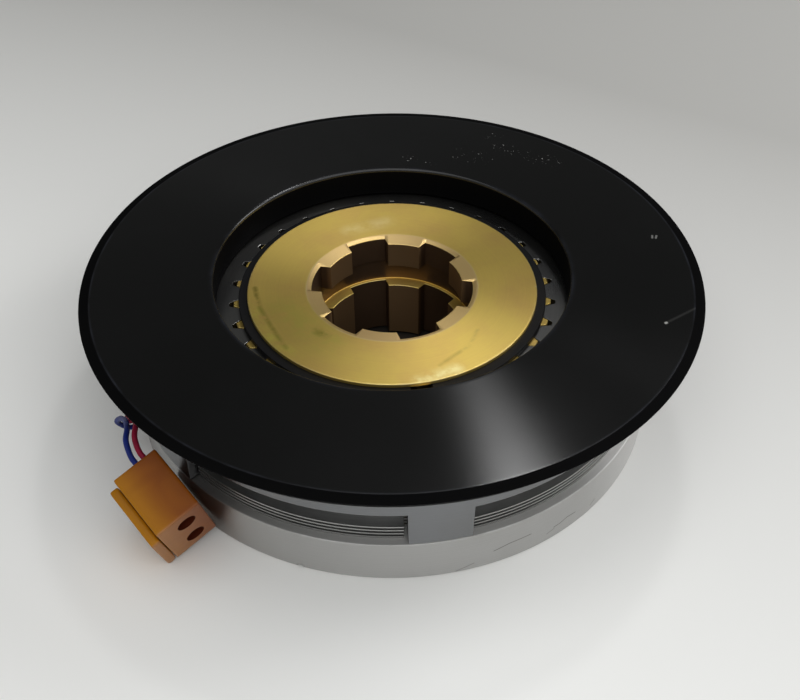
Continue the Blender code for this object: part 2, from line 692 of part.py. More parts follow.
def build_block(parent, amber):
    """The terminal block: a moulded block with two sockets and a stepped plate behind it."""
    leaning = empty("block_frame", BLOCK_CORNER, BLOCK_LEAN, parent)
    shape = bmesh.new()
    bmesh.ops.create_cube(shape, size=1)
    bmesh.ops.scale(shape, vec=(BLOCK_WIDTH, BLOCK_LENGTH, BLOCK_DEPTH), verts=shape.verts)
    middle = (BLOCK_WIDTH / 2, BLOCK_LENGTH / 2, -BLOCK_DEPTH / 2)
    bmesh.ops.translate(shape, vec=middle, verts=shape.verts)
    bmesh.ops.bevel(
        shape, geom=shape.edges[:], offset=BLOCK_EDGE, segments=1, affect="EDGES", profile=0.5
    )
    mesh = bpy.data.meshes.new("terminal_block")
    shape.to_mesh(mesh)
    shape.free()
    block = piece("terminal_block", mesh, amber, leaning)

    shape = bmesh.new()
    lay = Matrix.Rotation(math.pi / 2, 4, "X")
    across = BLOCK_WIDTH * SOCKET_PLACE
    along = SOCKET_DEPTH / 2 - CUT_PAST / 2
    for step in (-0.5, 0.5):
        down = -BLOCK_DEPTH / 2 + step * SOCKET_PITCH
        bmesh.ops.create_cone(
            shape, cap_ends=True, segments=SOCKET_STEPS, radius1=SOCKET_RADIUS, radius2=SOCKET_RADIUS,
            depth=SOCKET_DEPTH + CUT_PAST, matrix=Matrix.Translation((across, along, down)) @ lay,
        )
    mesh = bpy.data.meshes.new("socket_cutter")
    shape.to_mesh(mesh)
    shape.free()
    cut(block, piece("socket_cutter", mesh, None, leaning))

    shape = bmesh.new()
    bmesh.ops.create_cube(shape, size=1)
    height = BLOCK_DEPTH - BACK_PLATE_STEP
    bmesh.ops.scale(shape, vec=(BACK_PLATE_THICKNESS, BLOCK_LENGTH, height), verts=shape.verts)
    bmesh.ops.translate(
        shape,
        vec=(-BACK_PLATE_THICKNESS / 2 - SEAT_GAP, BLOCK_LENGTH / 2, -BACK_PLATE_STEP - height / 2),
        verts=shape.verts,
    )
    bmesh.ops.bevel(
        shape, geom=shape.edges[:], offset=BLOCK_EDGE, segments=1, affect="EDGES", profile=0.5
    )
    mesh = bpy.data.meshes.new("block_back_plate")
    shape.to_mesh(mesh)
    shape.free()
    piece("block_back_plate", mesh, amber, leaning)


def smooth_route(stops, spacing):
    """Points evenly along a smooth curve through the given stops, by cubic interpolation."""
    padded = [stops[0] * 2 - stops[1], *stops, stops[-1] * 2 - stops[-2]]
    dense = []
    for a, b, c, d in zip(padded, padded[1:], padded[2:], padded[3:]):
        for step in range(ROUTE_STEPS):
            t = step / ROUTE_STEPS
            dense.append(
                0.5 * (2 * b + (c - a) * t + (2 * a - 5 * b + 4 * c - d) * t**2
                       + (3 * b - 3 * c + d - a) * t**3)
            )
    dense.append(stops[-1])
    lengths = [0.0]
    for a, b in zip(dense, dense[1:]):
        lengths.append(lengths[-1] + (b - a).length)
    count = max(2, round(lengths[-1] / spacing))
    route = []
    leg = 0
    for number in range(count + 1):
        reach = lengths[-1] * number / count
        while leg < len(dense) - 2 and lengths[leg + 1] < reach:
            leg += 1
        span = lengths[leg + 1] - lengths[leg]
        route.append(dense[leg].lerp(dense[leg + 1], (reach - lengths[leg]) / span))
    return route


def lead(name, stops, finish, parent):
    """An insulated lead: a round tube along a smooth route."""
    curve = bpy.data.curves.new(name, "CURVE")
    curve.dimensions = "3D"
    curve.bevel_depth = LEAD_RADIUS
    curve.bevel_resolution = 2
    curve.use_fill_caps = True
    route = smooth_route([Vector(stop) for stop in stops], LEAD_POINT_SPACING)
    spline = curve.splines.new("POLY")
    spline.points.add(len(route) - 1)
    for point, place in zip(spline.points, route):
        point.co = (*place, 1)
    curve.materials.append(finish)
    made = bpy.data.objects.new(name, curve)
    made.parent = parent
    bpy.context.scene.collection.objects.link(made)
    return made


def build_leads(parent, rubber, blue, red):
    """The grommet in the magnet's wall, and the two leads from it to the terminal block."""
    wall = YOKE_RADIUS + GROMMET_LIP
    inside = COIL_OUTER_RADIUS + LEAD_HOLE_DEPTH
    turned_bar("lead_grommet", LEAD_HOLE_RADIUS - SEAT_GAP, inside, wall, rubber, parent)
    hole = lead_frame()
    block_turn = Euler([math.radians(angle) for angle in BLOCK_LEAN]).to_matrix()
    for name, finish, side in (("blue_lead", blue, 1), ("red_lead", red, -1)):
        across = Vector((side * LEAD_SPREAD / 2, 0, 0))
        start = BLOCK_CORNER + block_turn @ (LEAD_ENTRY - across)
        straight = BLOCK_CORNER + block_turn @ (LEAD_ENTRY - across + Vector((0, LEAD_SPACING, 0)))
        end = hole @ Vector((wall + SEAT_GAP, 0, -side * LEAD_SPREAD / 2))
        before = hole @ Vector((wall + LEAD_SPACING, 0, -side * LEAD_SPREAD / 2))
        bend = [
            stop + side * LEAD_SPREAD / 2 * Vector((stop.x, stop.y, 0)).normalized() for stop in LEAD_STOPS
        ]
        lead(name, [start, straight, *bend, before, end], finish, parent)


for old in list(bpy.data.objects):
    bpy.data.objects.remove(old)

ground_steel = material("ground_steel", (0.55, 0.55, 0.54), 0.3, 1.0)
dark_steel = material("dark_steel", (0.16, 0.16, 0.17), 0.3, 1.0)
black_oxide = material("black_oxide", (0.015, 0.015, 0.017), 0.35, 0.6)
bronze = material("bronze", (0.72, 0.52, 0.22), 0.3, 1.0)
cage_brass = material("cage_brass", (0.7, 0.5, 0.2), 0.4, 1.0)
plate_steel = material("plate_steel", (0.5, 0.5, 0.5), 0.35, 1.0)
lined_plate = material("lined_plate", (0.3, 0.25, 0.2), 0.7, 0.0)
coil_copper = material("coil_copper", (0.7, 0.3, 0.15), 0.4, 1.0)
bobbin_plastic = material("bobbin_plastic", (0.1, 0.1, 0.1), 0.6, 0.0)
seal_resin = material("seal_resin", (0.25, 0.12, 0.05), 0.4, 0.0)
amber_plastic = material("amber_plastic", (0.6, 0.3, 0.06), 0.35, 0.0)
black_rubber = material("black_rubber", (0.03, 0.03, 0.03), 0.7, 0.0)
blue_cover = material("blue_cover", (0.03, 0.08, 0.5), 0.4, 0.0)
red_cover = material("red_cover", (0.6, 0.04, 0.05), 0.4, 0.0)

magnet = empty("magnet")
hub_axis = empty("hub_axis", parent=magnet)
carrier_axis = empty("carrier_axis", parent=magnet)
cage_axis = empty("cage_axis", parent=magnet)
armature_axis = empty("armature_axis", parent=hub_axis)

build_magnet(magnet, ground_steel)
build_coil(magnet, bobbin_plastic, coil_copper, seal_resin)
build_bearing(magnet, hub_axis, cage_axis, ground_steel, cage_brass)
build_bearing_circlip(magnet, dark_steel)
build_hub(hub_axis, bronze, black_oxide, dark_steel)
build_plates(hub_axis, carrier_axis, plate_steel, lined_plate)
build_armature(armature_axis, dark_steel)
build_carrier(carrier_axis, ground_steel, black_oxide)
build_block(magnet, amber_plastic)
build_leads(magnet, black_rubber, blue_cover, red_cover)
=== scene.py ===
"""The looks of a wet multi-plate electromagnetic clutch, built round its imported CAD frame."""

import math

import bmesh
import bpy
import numpy as np
from mathutils import Euler, Matrix, Vector


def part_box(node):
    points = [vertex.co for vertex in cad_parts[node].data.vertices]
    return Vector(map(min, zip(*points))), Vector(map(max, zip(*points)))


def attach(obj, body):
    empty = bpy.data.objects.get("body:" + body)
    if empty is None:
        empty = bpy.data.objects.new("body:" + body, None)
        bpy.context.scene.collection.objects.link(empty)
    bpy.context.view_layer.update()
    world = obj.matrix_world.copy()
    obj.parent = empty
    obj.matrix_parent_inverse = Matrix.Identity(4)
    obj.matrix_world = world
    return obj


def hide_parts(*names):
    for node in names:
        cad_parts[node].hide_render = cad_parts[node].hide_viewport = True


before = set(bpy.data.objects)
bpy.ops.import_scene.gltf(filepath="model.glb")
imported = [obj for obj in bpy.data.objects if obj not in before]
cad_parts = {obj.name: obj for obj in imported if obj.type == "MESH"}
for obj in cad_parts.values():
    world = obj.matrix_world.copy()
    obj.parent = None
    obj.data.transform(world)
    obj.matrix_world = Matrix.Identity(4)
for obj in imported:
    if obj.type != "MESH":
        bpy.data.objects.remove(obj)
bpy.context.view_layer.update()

MM = 0.001

# The photograph's viewpoint: a camera a little over half a metre from the black flange's face,
# looking down at it. The clutch is turned in its frame so that the block points to a corner.
face_centre = Vector((0, 0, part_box("drive_flange")[1].z))
camera_distance = 517 * MM
camera_elevation = math.radians(37.35)
camera_azimuth = math.radians(-102)
camera_roll = math.radians(0.76)
film_width = 36
picture_pixels, focal_pixels = 800, 1054
aside_pixels, above_pixels = -7.0, -84.7
pan = math.atan(aside_pixels / focal_pixels)
tilt = math.atan(above_pixels / focal_pixels)
outward = Vector(
    (
        math.cos(camera_elevation) * math.cos(camera_azimuth),
        math.cos(camera_elevation) * math.sin(camera_azimuth),
        math.sin(camera_elevation),
    )
)
forward = -outward
right = Vector((-math.sin(camera_azimuth), math.cos(camera_azimuth), 0))
upward = right.cross(forward)
panned = Matrix.Rotation(pan, 3, upward)
forward, right = panned @ forward, panned @ right
tilted = Matrix.Rotation(tilt, 3, right)
forward, upward = tilted @ forward, tilted @ upward
rolled = Matrix.Rotation(camera_roll, 3, forward)
right, upward = rolled @ right, rolled @ upward
eye = bpy.data.objects.new("camera", bpy.data.cameras.new("camera"))
eye.data.sensor_width = film_width
eye.data.lens = focal_pixels / picture_pixels * film_width
eye.data.clip_start = 10 * MM
eye.matrix_world = Matrix.Translation(face_centre + outward * camera_distance) @ Matrix(
    (right, upward, -forward)
).transposed().to_4x4()
bpy.context.scene.collection.objects.link(eye)
bpy.context.scene.camera = eye
bpy.context.scene.view_settings.view_transform = "Standard"

# Studio light: a room that is pale all round but dim behind and above, where the black face
# looks, a small lamp that draws the fan on it, a window on the right and a huge soft lamp overhead.
dark_side = (0.05, 0.8, 0.6)
dimming_start, dimming_end = 0.15, 0.75
bright_room, dim_room = 0.42, 0.095
room_colour = (0.98, 1.0, 0.98, 1)
room = bpy.data.worlds.new("room")
room.use_nodes = True
room_nodes, room_links = room.node_tree.nodes, room.node_tree.links
direction = room_nodes.new("ShaderNodeTexCoord")
towards_dark = room_nodes.new("ShaderNodeVectorMath")
towards_dark.operation = "DOT_PRODUCT"
towards_dark.inputs[1].default_value = dark_side
dimming = room_nodes.new("ShaderNodeMapRange")
dimming.inputs["From Min"].default_value = dimming_start
dimming.inputs["From Max"].default_value = dimming_end
dimming.inputs["To Min"].default_value = bright_room
dimming.inputs["To Max"].default_value = dim_room
room_light = room_nodes["Background"]
room_light.inputs["Color"].default_value = room_colour
room_links.new(direction.outputs["Generated"], towards_dark.inputs[0])
room_links.new(towards_dark.outputs["Value"], dimming.inputs["Value"])
room_links.new(dimming.outputs["Result"], room_light.inputs["Strength"])
bpy.context.scene.world = room


def soft_lamp(name, place, size, power):
    """A square lamp of the given size that faces the clutch's foot."""
    lamp = bpy.data.lights.new(name, "AREA")
    lamp.size = size
    lamp.energy = power
    stand = bpy.data.objects.new(name, lamp)
    stand.location = place
    stand.rotation_euler = (-Vector(place)).to_track_quat("-Z", "Y").to_euler()
    bpy.context.scene.collection.objects.link(stand)


soft_lamp("fan_lamp", place=(0.36, 0.55, 1.14), size=0.13, power=1.3)
soft_lamp("window_lamp", place=(1.0, 0.1, 0.72), size=0.5, power=4)
soft_lamp("overhead_lamp", place=(0.15, -0.7, 1.85), size=3.3, power=38)

# The floor: a wide sheet of pale board under the clutch. It darkens towards the far right, away
# from the light, and is black below the bore, where hardly any light gets down.
floor_half, floor_drop = 6.0, 0.2 * MM
board_colours = (0.85, 0.85, 0.84), (0.91, 0.91, 0.89)
far_colour, bore_shadow = (0.42, 0.415, 0.4), (0.01, 0.008, 0.006)
far_start, far_end = -0.2, 0.5
shadow_edge, shadow_core = 70 * MM, 50 * MM


def new_material(name):
    """A material with its tree and its Principled shader."""
    made = bpy.data.materials.new(name)
    made.use_nodes = True
    return made, made.node_tree, made.node_tree.nodes["Principled BSDF"]


def add(tree, kind, **settings):
    """A node with some of its sockets or properties set."""
    node = tree.nodes.new("ShaderNode" + kind)
    for key, value in settings.items():
        if key in node.inputs.keys():
            node.inputs[key].default_value = value
        else:
            setattr(node, key, value)
    return node


def reckon(tree, operation, first, second=None, third=None):
    """One step of arithmetic, on sockets or plain numbers."""
    node = tree.nodes.new("ShaderNodeMath")
    node.operation = operation
    for slot_number, value in enumerate((first, second, third)):
        if value is None:
            continue
        if isinstance(value, (int, float)):
            node.inputs[slot_number].default_value = value
        else:
            tree.links.new(value, node.inputs[slot_number])
    return node.outputs[0]


def blend_colours(tree, share, first, second):
    """A colour between two, by a share from 0 to 1; a colour may be a tuple or a socket."""
    node = tree.nodes.new("ShaderNodeMix")
    node.data_type = "RGBA"
    tree.links.new(share, node.inputs[0])
    for socket, value in ((node.inputs[6], first), (node.inputs[7], second)):
        if isinstance(value, tuple):
            socket.default_value = (*value, 1)
        else:
            tree.links.new(value, socket)
    return node.outputs[2]


def ramp(tree, value, low, high):
    """0 below low, 1 above high, straight between."""
    node = add(tree, "MapRange")
    node.inputs["From Min"].default_value = low
    node.inputs["From Max"].default_value = high
    tree.links.new(value, node.inputs["Value"])
    return node.outputs["Result"]


def object_place(tree):
    """The point's place in the clutch's frame, in metres."""
    return add(tree, "TexCoord").outputs["Object"]


def noise(tree, place, scale, detail=3.0, roughness=0.5):
    """Cloudy noise in space."""
    node = add(tree, "TexNoise", Scale=scale, Detail=detail, Roughness=roughness)
    tree.links.new(place, node.inputs["Vector"])
    return node.outputs["Fac"]


floor_mesh = bpy.data.meshes.new("floor")
floor_corners = [(floor_half * x, floor_half * y, 0) for x, y in ((-1, -1), (1, -1), (1, 1), (-1, 1))]
floor_mesh.from_pydata(floor_corners, [], [(0, 1, 2, 3)])
floor = bpy.data.objects.new("floor", floor_mesh)
floor.location.z = -floor_drop
bpy.context.scene.collection.objects.link(floor)
board, tree, shader = new_material("pale_board")
place = object_place(tree)
shade = blend_colours(tree, noise(tree, place, 3.0), *board_colours)
spread = add(tree, "SeparateXYZ")
tree.links.new(place, spread.inputs[0])
x_plus_y = reckon(tree, "MULTIPLY_ADD", spread.outputs[0], 1.0, spread.outputs[1])
shade = blend_colours(tree, ramp(tree, x_plus_y, far_start, far_end), shade, far_colour)
from_middle = add(tree, "VectorMath", operation="LENGTH")
tree.links.new(place, from_middle.inputs[0])
under_bore = ramp(tree, from_middle.outputs["Value"], shadow_edge, shadow_core)
shade = blend_colours(tree, under_bore, shade, bore_shadow)
tree.links.new(shade, shader.inputs["Base Color"])
shader.inputs["Roughness"].default_value = 0.6
floor_mesh.materials.append(board)

# The magnet body: a heavy ring of mild steel, turned and ground outside, with a channel for
# the coil in its upper face. Its wall has fine lines round it and a few handling scratches.
fillet_most, support_reach, support_most = 0.45, 1.7, 0.48
slight_wear = 0.35
crease = math.radians(32)
angle_spacing = 1.5
sharp = 0.05 * MM


def rounded(corners, steps=3):
    """A closed outline from corners (radius, height, fillet), with a kind behind the fillet of a special
    corner. Each corner becomes a parabola between points one fillet away along its two edges, with one
    more point beyond each end so that the flats stay flat. Returns radii, heights, kinds and the wear,
    which is 1 on fillets and 0 on flats."""
    radii, heights, kinds, wear = [], [], [], []
    for number, (radius, height, fillet, *special) in enumerate(corners):
        corner = np.array((radius, height))
        before = np.array(corners[number - 1][:2]) - corner
        after = np.array(corners[(number + 1) % len(corners)][:2]) - corner
        length_before, length_after = np.linalg.norm(before), np.linalg.norm(after)
        reach_before = min(fillet, fillet_most * length_before)
        reach_after = min(fillet, fillet_most * length_after)
        start = corner + before / length_before * reach_before
        end = corner + after / length_after * reach_after
        curve = [
            (1 - t) ** 2 * start + 2 * t * (1 - t) * corner + t**2 * end
            for t in np.linspace(0, 1, steps + 1)
        ]
        first = corner + before * min(support_reach * reach_before / length_before, support_most)
        last = corner + after * min(support_reach * reach_after / length_after, support_most)
        for point in (first, *curve, last):
            radii.append(point[0])
            heights.append(point[1])
            kinds.append(special[0] if special else "plain")
        wear += [0.0, slight_wear] + [1.0] * (steps - 1) + [slight_wear, 0.0]
    return np.array(radii), np.array(heights), np.array(kinds), np.array(wear)


def swept_ring(name, radii, heights, angles, wear, closed=True):
    """A ring whose row i and column j lie at radii[i, j] and heights[i, j], at angles[j] degrees. Rows run
    outwards along the base and up the outer wall, and close on themselves. The columns do too, or else
    the ring is split there and each end gets a flat face. The wear is given for each row."""
    rows, columns = radii.shape
    turn = np.radians(angles)
    points = np.stack([radii * np.cos(turn), radii * np.sin(turn), heights], axis=-1)
    row, column = np.meshgrid(np.arange(rows), np.arange(columns if closed else columns - 1), indexing="ij")
    next_row, next_column = (row + 1) % rows, (column + 1) % columns
    quads = np.stack(
        [
            row * columns + column, row * columns + next_column,
            next_row * columns + next_column, next_row * columns + column,
        ],
        axis=-1,
    )
    faces = quads.reshape(-1, 4).tolist()
    if not closed:
        first_end = np.arange(rows) * columns
        faces += [first_end.tolist(), (first_end + columns - 1)[::-1].tolist()]
    mesh = bpy.data.meshes.new(name)
    mesh.from_pydata(points.reshape(-1, 3).tolist(), [], faces)
    worn_and_sheen = mesh.attributes.new("wear", "FLOAT", "POINT")
    worn_and_sheen.data.foreach_set("value", np.repeat(wear, columns).astype(np.float32))
    mesh.validate()
    mesh.shade_smooth()
    mesh.set_sharp_from_angle(angle=crease)
    made = bpy.data.objects.new(name, mesh)
    bpy.context.scene.collection.objects.link(made)
    return made


def finish(piece, material, body, node):
    """Gives a piece its material and its body, and hides the CAD node that it stands for."""
    piece.data.materials.clear()
    piece.data.materials.append(material)
    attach(piece, body)
    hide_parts(node)


def times(tree, product, *factors):
    """The product of sockets or plain numbers."""
    for factor in factors:
        product = reckon(tree, "MULTIPLY", product, factor)
    return product


def radius_and_height(tree, place):
    """The point's distance from the clutch's axis, and its height."""
    split = add(tree, "SeparateXYZ")
    tree.links.new(place, split.inputs[0])
    x, y, z = split.outputs
    return reckon(tree, "SQRT", reckon(tree, "MULTIPLY_ADD", y, y, times(tree, x, x))), z


def turned_metal(
    name, colour, stain, roughness, lines, depth, metallic=1.0, anisotropy=0.0, stain_scale=14.0,
    stain_range=(0.45, 0.75), worn_and_sheen=None, shine=0.5, smears=0.16, line_shade=0.82,
):
    """A turned finish: fine lines from noise of radius plus height, and cloudy stains from noise in space.
    Fillets with wear go towards the fillet colour: real wear, on the flange partly a painted highlight."""
    line_range, height_share, relief = (0.3, 0.75), 1.31, 0.35
    patch_scale, patch_range, patch_strength = 60.0, (0.35, 0.8), 0.7
    smear_scale, quarter_turn = 22.0, 0.25
    made, tree, shader = new_material(name)
    place = object_place(tree)
    radius, height = radius_and_height(tree, place)
    reach = reckon(tree, "MULTIPLY_ADD", height, height_share, radius)
    groove = add(tree, "TexNoise", Scale=1.0, Detail=4.0, Roughness=0.7)
    groove.noise_dimensions = "1D"
    tree.links.new(times(tree, reach, lines), groove.inputs["W"])
    stained = ramp(tree, noise(tree, place, stain_scale, 5.0, 0.6), *stain_range)
    on_ridge = blend_colours(tree, stained, colour, stain)
    dark_pair = [tuple(line_shade * part for part in whole) for whole in (colour, stain)]
    in_line = blend_colours(tree, stained, *dark_pair)
    shade = blend_colours(tree, ramp(tree, groove.outputs["Fac"], *line_range), on_ridge, in_line)
    if worn_and_sheen:
        fillet_wear_and_sheen = add(tree, "Attribute", attribute_name="wear")
        patches = ramp(tree, noise(tree, place, patch_scale), *patch_range)
        shade = blend_colours(tree, times(tree, fillet_wear_and_sheen.outputs["Fac"], patches, patch_strength), shade, worn_and_sheen)
    tree.links.new(shade, shader.inputs["Base Color"])
    shader.inputs["Metallic"].default_value = metallic
    shader.inputs["Anisotropic"].default_value = anisotropy
    shader.inputs["Anisotropic Rotation"].default_value = quarter_turn
    shader.inputs["Specular IOR Level"].default_value = shine
    if anisotropy:
        tangent = add(tree, "Tangent", direction_type="RADIAL", axis="Z")
        tree.links.new(tangent.outputs[0], shader.inputs["Tangent"])
    smear = noise(tree, place, smear_scale, 4.0)
    rough = reckon(tree, "MULTIPLY_ADD", smear, smears, roughness - smears / 2)
    rough = reckon(tree, "MULTIPLY_ADD", groove.outputs["Fac"], smears / 2, rough)
    tree.links.new(rough, shader.inputs["Roughness"])
    bump = add(tree, "Bump", Strength=relief, Distance=depth * MM)
    tree.links.new(groove.outputs["Fac"], bump.inputs["Height"])
    tree.links.new(bump.outputs[0], shader.inputs["Normal"])
    return made


def overlay(made, mask, colour):
    """Lays a colour over a finish where the mask is 1."""
    socket = made.node_tree.nodes["Principled BSDF"].inputs["Base Color"]
    below = socket.links[0].from_socket
    made.node_tree.links.new(blend_colours(made.node_tree, mask, below, colour), socket)


def near_line(tree, place, points, core, edge, strength=1.0):
    """The given strength within the core's distance of a line through the points, falling to 0 at the
    edge's. Points and distances are in millimetres."""
    nearest = None
    for start, end in zip(points, points[1:]):
        start, along = Vector(start) * MM, (Vector(end) - Vector(start)) * MM
        out = add(tree, "VectorMath", operation="SUBTRACT")
        tree.links.new(place, out.inputs[0])
        out.inputs[1].default_value = start
        share = add(tree, "VectorMath", operation="DOT_PRODUCT")
        tree.links.new(out.outputs["Vector"], share.inputs[0])
        share.inputs[1].default_value = along / along.length_squared
        held = ramp(tree, share.outputs["Value"], 0, 1)
        foot = add(tree, "VectorMath", operation="SCALE")
        foot.inputs[0].default_value = along
        tree.links.new(held, foot.inputs["Scale"])
        apart = add(tree, "VectorMath", operation="DISTANCE")
        tree.links.new(out.outputs["Vector"], apart.inputs[0])
        tree.links.new(foot.outputs["Vector"], apart.inputs[1])
        gap = apart.outputs["Value"]
        nearest = gap if nearest is None else reckon(tree, "MINIMUM", nearest, gap)
    return times(tree, ramp(tree, nearest, edge * MM, core * MM), strength)


yoke_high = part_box("magnet_yoke")[1]
yoke_radius, yoke_height = yoke_high.x, yoke_high.z
bearing_seat, bearing_lip, bearing_top = 70.3 * MM, 67.3 * MM, 20.9 * MM
circlip_seat, circlip_low, circlip_high = 71.9 * MM, 2.4 * MM, 4.45 * MM
coil_inner, coil_outer, coil_floor = 97 * MM, 116 * MM, 7 * MM
notch_azimuth, notch_half, notch_side = 239.0, 0.656, 0.02
notch_height, notch_depth = 1.6 * MM, 3 * MM
yoke_outline = [
    (bearing_seat, 0, 0.5 * MM),
    (yoke_radius - notch_depth, 0, 0.1 * MM),
    (yoke_radius, 0, 0.7 * MM, "wall_foot"),
    (yoke_radius, notch_height, sharp, "notch_roof"),
    (yoke_radius, yoke_height, 0.6 * MM),
    (coil_outer, yoke_height, 0.3 * MM),
    (coil_outer, coil_floor, 0.2 * MM),
    (coil_inner, coil_floor, 0.2 * MM),
    (coil_inner, yoke_height, 0.3 * MM),
    (bearing_lip, yoke_height, 0.4 * MM),
    (bearing_lip, bearing_top, 0.1 * MM),
    (bearing_seat, bearing_top, 0.1 * MM),
    (bearing_seat, circlip_high, sharp),
    (circlip_seat, circlip_high, sharp),
    (circlip_seat, circlip_low, sharp),
    (bearing_seat, circlip_low, sharp),
]
radii, heights, kinds, wear = rounded(yoke_outline)
notch_edges = [side * (notch_half + step) for side in (-1, 1) for step in (0, notch_side)]
angles = np.sort(np.concatenate([np.arange(0, 360, angle_spacing), notch_azimuth + np.array(notch_edges)]))
in_notch = np.abs(angles - notch_azimuth) <= notch_half
radius_grid = np.repeat(radii[:, None], len(angles), axis=1)
height_grid = np.repeat(heights[:, None], len(angles), axis=1)
for kind, radius in (("wall_foot", yoke_radius - notch_depth), ("notch_roof", yoke_radius)):
    chosen = (kinds == kind)[:, None] & in_notch[None, :]
    radius_grid[chosen] = radius
    height_grid[chosen] = notch_height
magnet_body = swept_ring("magnet_body", radius_grid, height_grid, angles, wear)
ground_steel = turned_metal(
    "ground_steel", (0.52, 0.515, 0.505), (0.44, 0.43, 0.41), 0.46, lines=2600, depth=0.03,
    anisotropy=0.85, stain_scale=9, stain_range=(0.5, 0.85), worn_and_sheen=(0.7, 0.7, 0.69),
)
scratch_colour, notch_painted_shade = (0.12, 0.11, 0.1), (0.02, 0.02, 0.02)
wall_scratches = (
    ([(16.9, -129.9, 8.8), (24.6, -128.7, 10.7), (35.1, -126.2, 11.0)], 0.35, 0.75),
    ([(-0.6, -131.0, 0.9), (7.7, -130.8, 4.0)], 0.3, 0.6),
    ([(47.7, -122.0, 7.2), (51.0, -120.6, 7.5), (54.9, -119.0, 8.7), (59.6, -116.6, 8.2)], 0.4, 0.7),
    ([(44.0, -123.4, 4.9), (48.0, -121.9, 6.2)], 0.35, 0.5),
    ([(69.5, -111.0, 3.9), (72.0, -109.4, 5.6)], 0.4, 0.6),
)
tree = ground_steel.node_tree
place = object_place(tree)
for points, width, strength in wall_scratches:
    overlay(ground_steel, near_line(tree, place, points, 0.4 * width, width, strength), scratch_colour)
# Painted shade: the inside of the notch at the wall's foot is painted near black, for the shade in it.
notch_turn = math.radians(notch_azimuth)
shade_reaches, shade_height, shade_core, shade_edge = (129.3, 127.5), 0.6, 1.7, 2.1
notch_shade_line = [
    (reach * math.cos(notch_turn), reach * math.sin(notch_turn), shade_height) for reach in shade_reaches
]
overlay(ground_steel, near_line(tree, place, notch_shade_line, shade_core, shade_edge), notch_painted_shade)
finish(magnet_body, ground_steel, "stator", "magnet_yoke")

# The coil: enamelled copper wound on a black moulded bobbin, sealed into the channel by a ring
# of brown casting resin that sits a little below the pole faces.


def mottled(name, first, second, scale, roughness, metallic=0.0, grain_depth=0.05, grain_scale=400.0):
    """A moulded or cast finish: two colours by cloudy noise, with a fine grain in relief."""
    cloud_range, gloss_spread, gloss_scale, shine, relief = (0.3, 0.7), 0.2, 3, 0.2, 0.4
    made, tree, shader = new_material(name)
    place = object_place(tree)
    cloud = ramp(tree, noise(tree, place, scale), *cloud_range)
    tree.links.new(blend_colours(tree, cloud, first, second), shader.inputs["Base Color"])
    smear = noise(tree, place, scale * gloss_scale)
    rough = reckon(tree, "MULTIPLY_ADD", smear, gloss_spread, roughness - gloss_spread / 2)
    tree.links.new(rough, shader.inputs["Roughness"])
    shader.inputs["Metallic"].default_value = metallic
    shader.inputs["Specular IOR Level"].default_value = shine
    bump = add(tree, "Bump", Strength=relief, Distance=grain_depth * MM)
    tree.links.new(noise(tree, place, grain_scale, 2.0), bump.inputs["Height"])
    tree.links.new(bump.outputs[0], shader.inputs["Normal"])
    return made


def dress(node, material):
    """Gives a CAD node its material."""
    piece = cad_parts[node]
    piece.data.materials.clear()
    piece.data.materials.append(material)


bobbin_moulding = mottled("bobbin_moulding", (0.03, 0.03, 0.03), (0.05, 0.05, 0.05), 40, 0.6)
casting_resin = mottled("casting_resin", (0.16, 0.07, 0.03), (0.24, 0.12, 0.05), 30, 0.35)
enamelled_copper = mottled(
    "enamelled_copper", (0.6, 0.22, 0.1), (0.72, 0.34, 0.16), 90, 0.35, metallic=1.0, grain_depth=0.2,
    grain_scale=900,
)
dress("coil_bobbin", bobbin_moulding)
dress("coil_seal_ring", casting_resin)
dress("coil_winding", enamelled_copper)

# The ball bearing under the hub: two ground races, steel balls in a brass cage, and the two
# phosphated snap rings that hold it.
race_steel = turned_metal("race_steel", (0.62, 0.62, 0.62), (0.5, 0.5, 0.49), 0.2, lines=3000, depth=0.02)
spring_steel = turned_metal(
    "spring_steel", (0.012, 0.012, 0.013), (0.02, 0.018, 0.016), 0.4, lines=1500, depth=0.03,
    metallic=0.5, shine=0.2,
)
cage_brass = turned_metal("cage_brass", (0.72, 0.5, 0.2), (0.6, 0.4, 0.16), 0.35, lines=1200, depth=0.03)
dress("bearing_inner_race", race_steel)
dress("bearing_outer_race", race_steel)
dress("bearing_balls_and_cage", cage_brass)
dress("bearing_circlip", spring_steel)
dress("hub_circlip", spring_steel)

# The hub: a bronze sleeve with a splined bore, thirty teeth outside and a bright turned face,
# stained a little by oil. The bore is broached in two parts with a relief groove between them.
hub_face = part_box("splined_hub")[1].z
tooth_count, tooth_turn = 30, 5.6
tooth_root, tooth_tip = 74.4 * MM, 78.7 * MM
tooth_root_half, tooth_tip_half = 2.9, 1.3
spline_count, spline_turn, spline_width = 6, 37.5, 20 * MM
spline_minor, spline_major = 35 * MM, 40 * MM
close_pair = 0.06
no_division_by_zero = 1e-6


def away_from_nearest(angles, turn, count):
    """How many degrees each angle is from the nearest of several like features, evenly spaced."""
    pitch = 360 / count
    return np.abs((angles - turn + pitch / 2) % pitch - pitch / 2)


def tooth_radius(angles, root, root_half, tip, tip_half):
    """The radius of a toothed outline: the tip within tip_half degrees of a tooth's middle, the root
    beyond root_half, and a straight fall between."""
    away = away_from_nearest(angles, tooth_turn, tooth_count)
    fall = np.clip((away - tip_half) / (root_half - tip_half), 0, 1)
    return tip + (root - tip) * fall


def spline_radius(angles):
    """The radius of the splined bore: the major circle inside a slot, the minor one between slots, and
    on a slot's flat side the distance at which a line half a slot wide off the middle is met."""
    away = away_from_nearest(angles, spline_turn, spline_count)
    side = spline_width / 2 / np.maximum(np.sin(np.radians(away)), no_division_by_zero)
    return np.clip(side, spline_minor, spline_major)


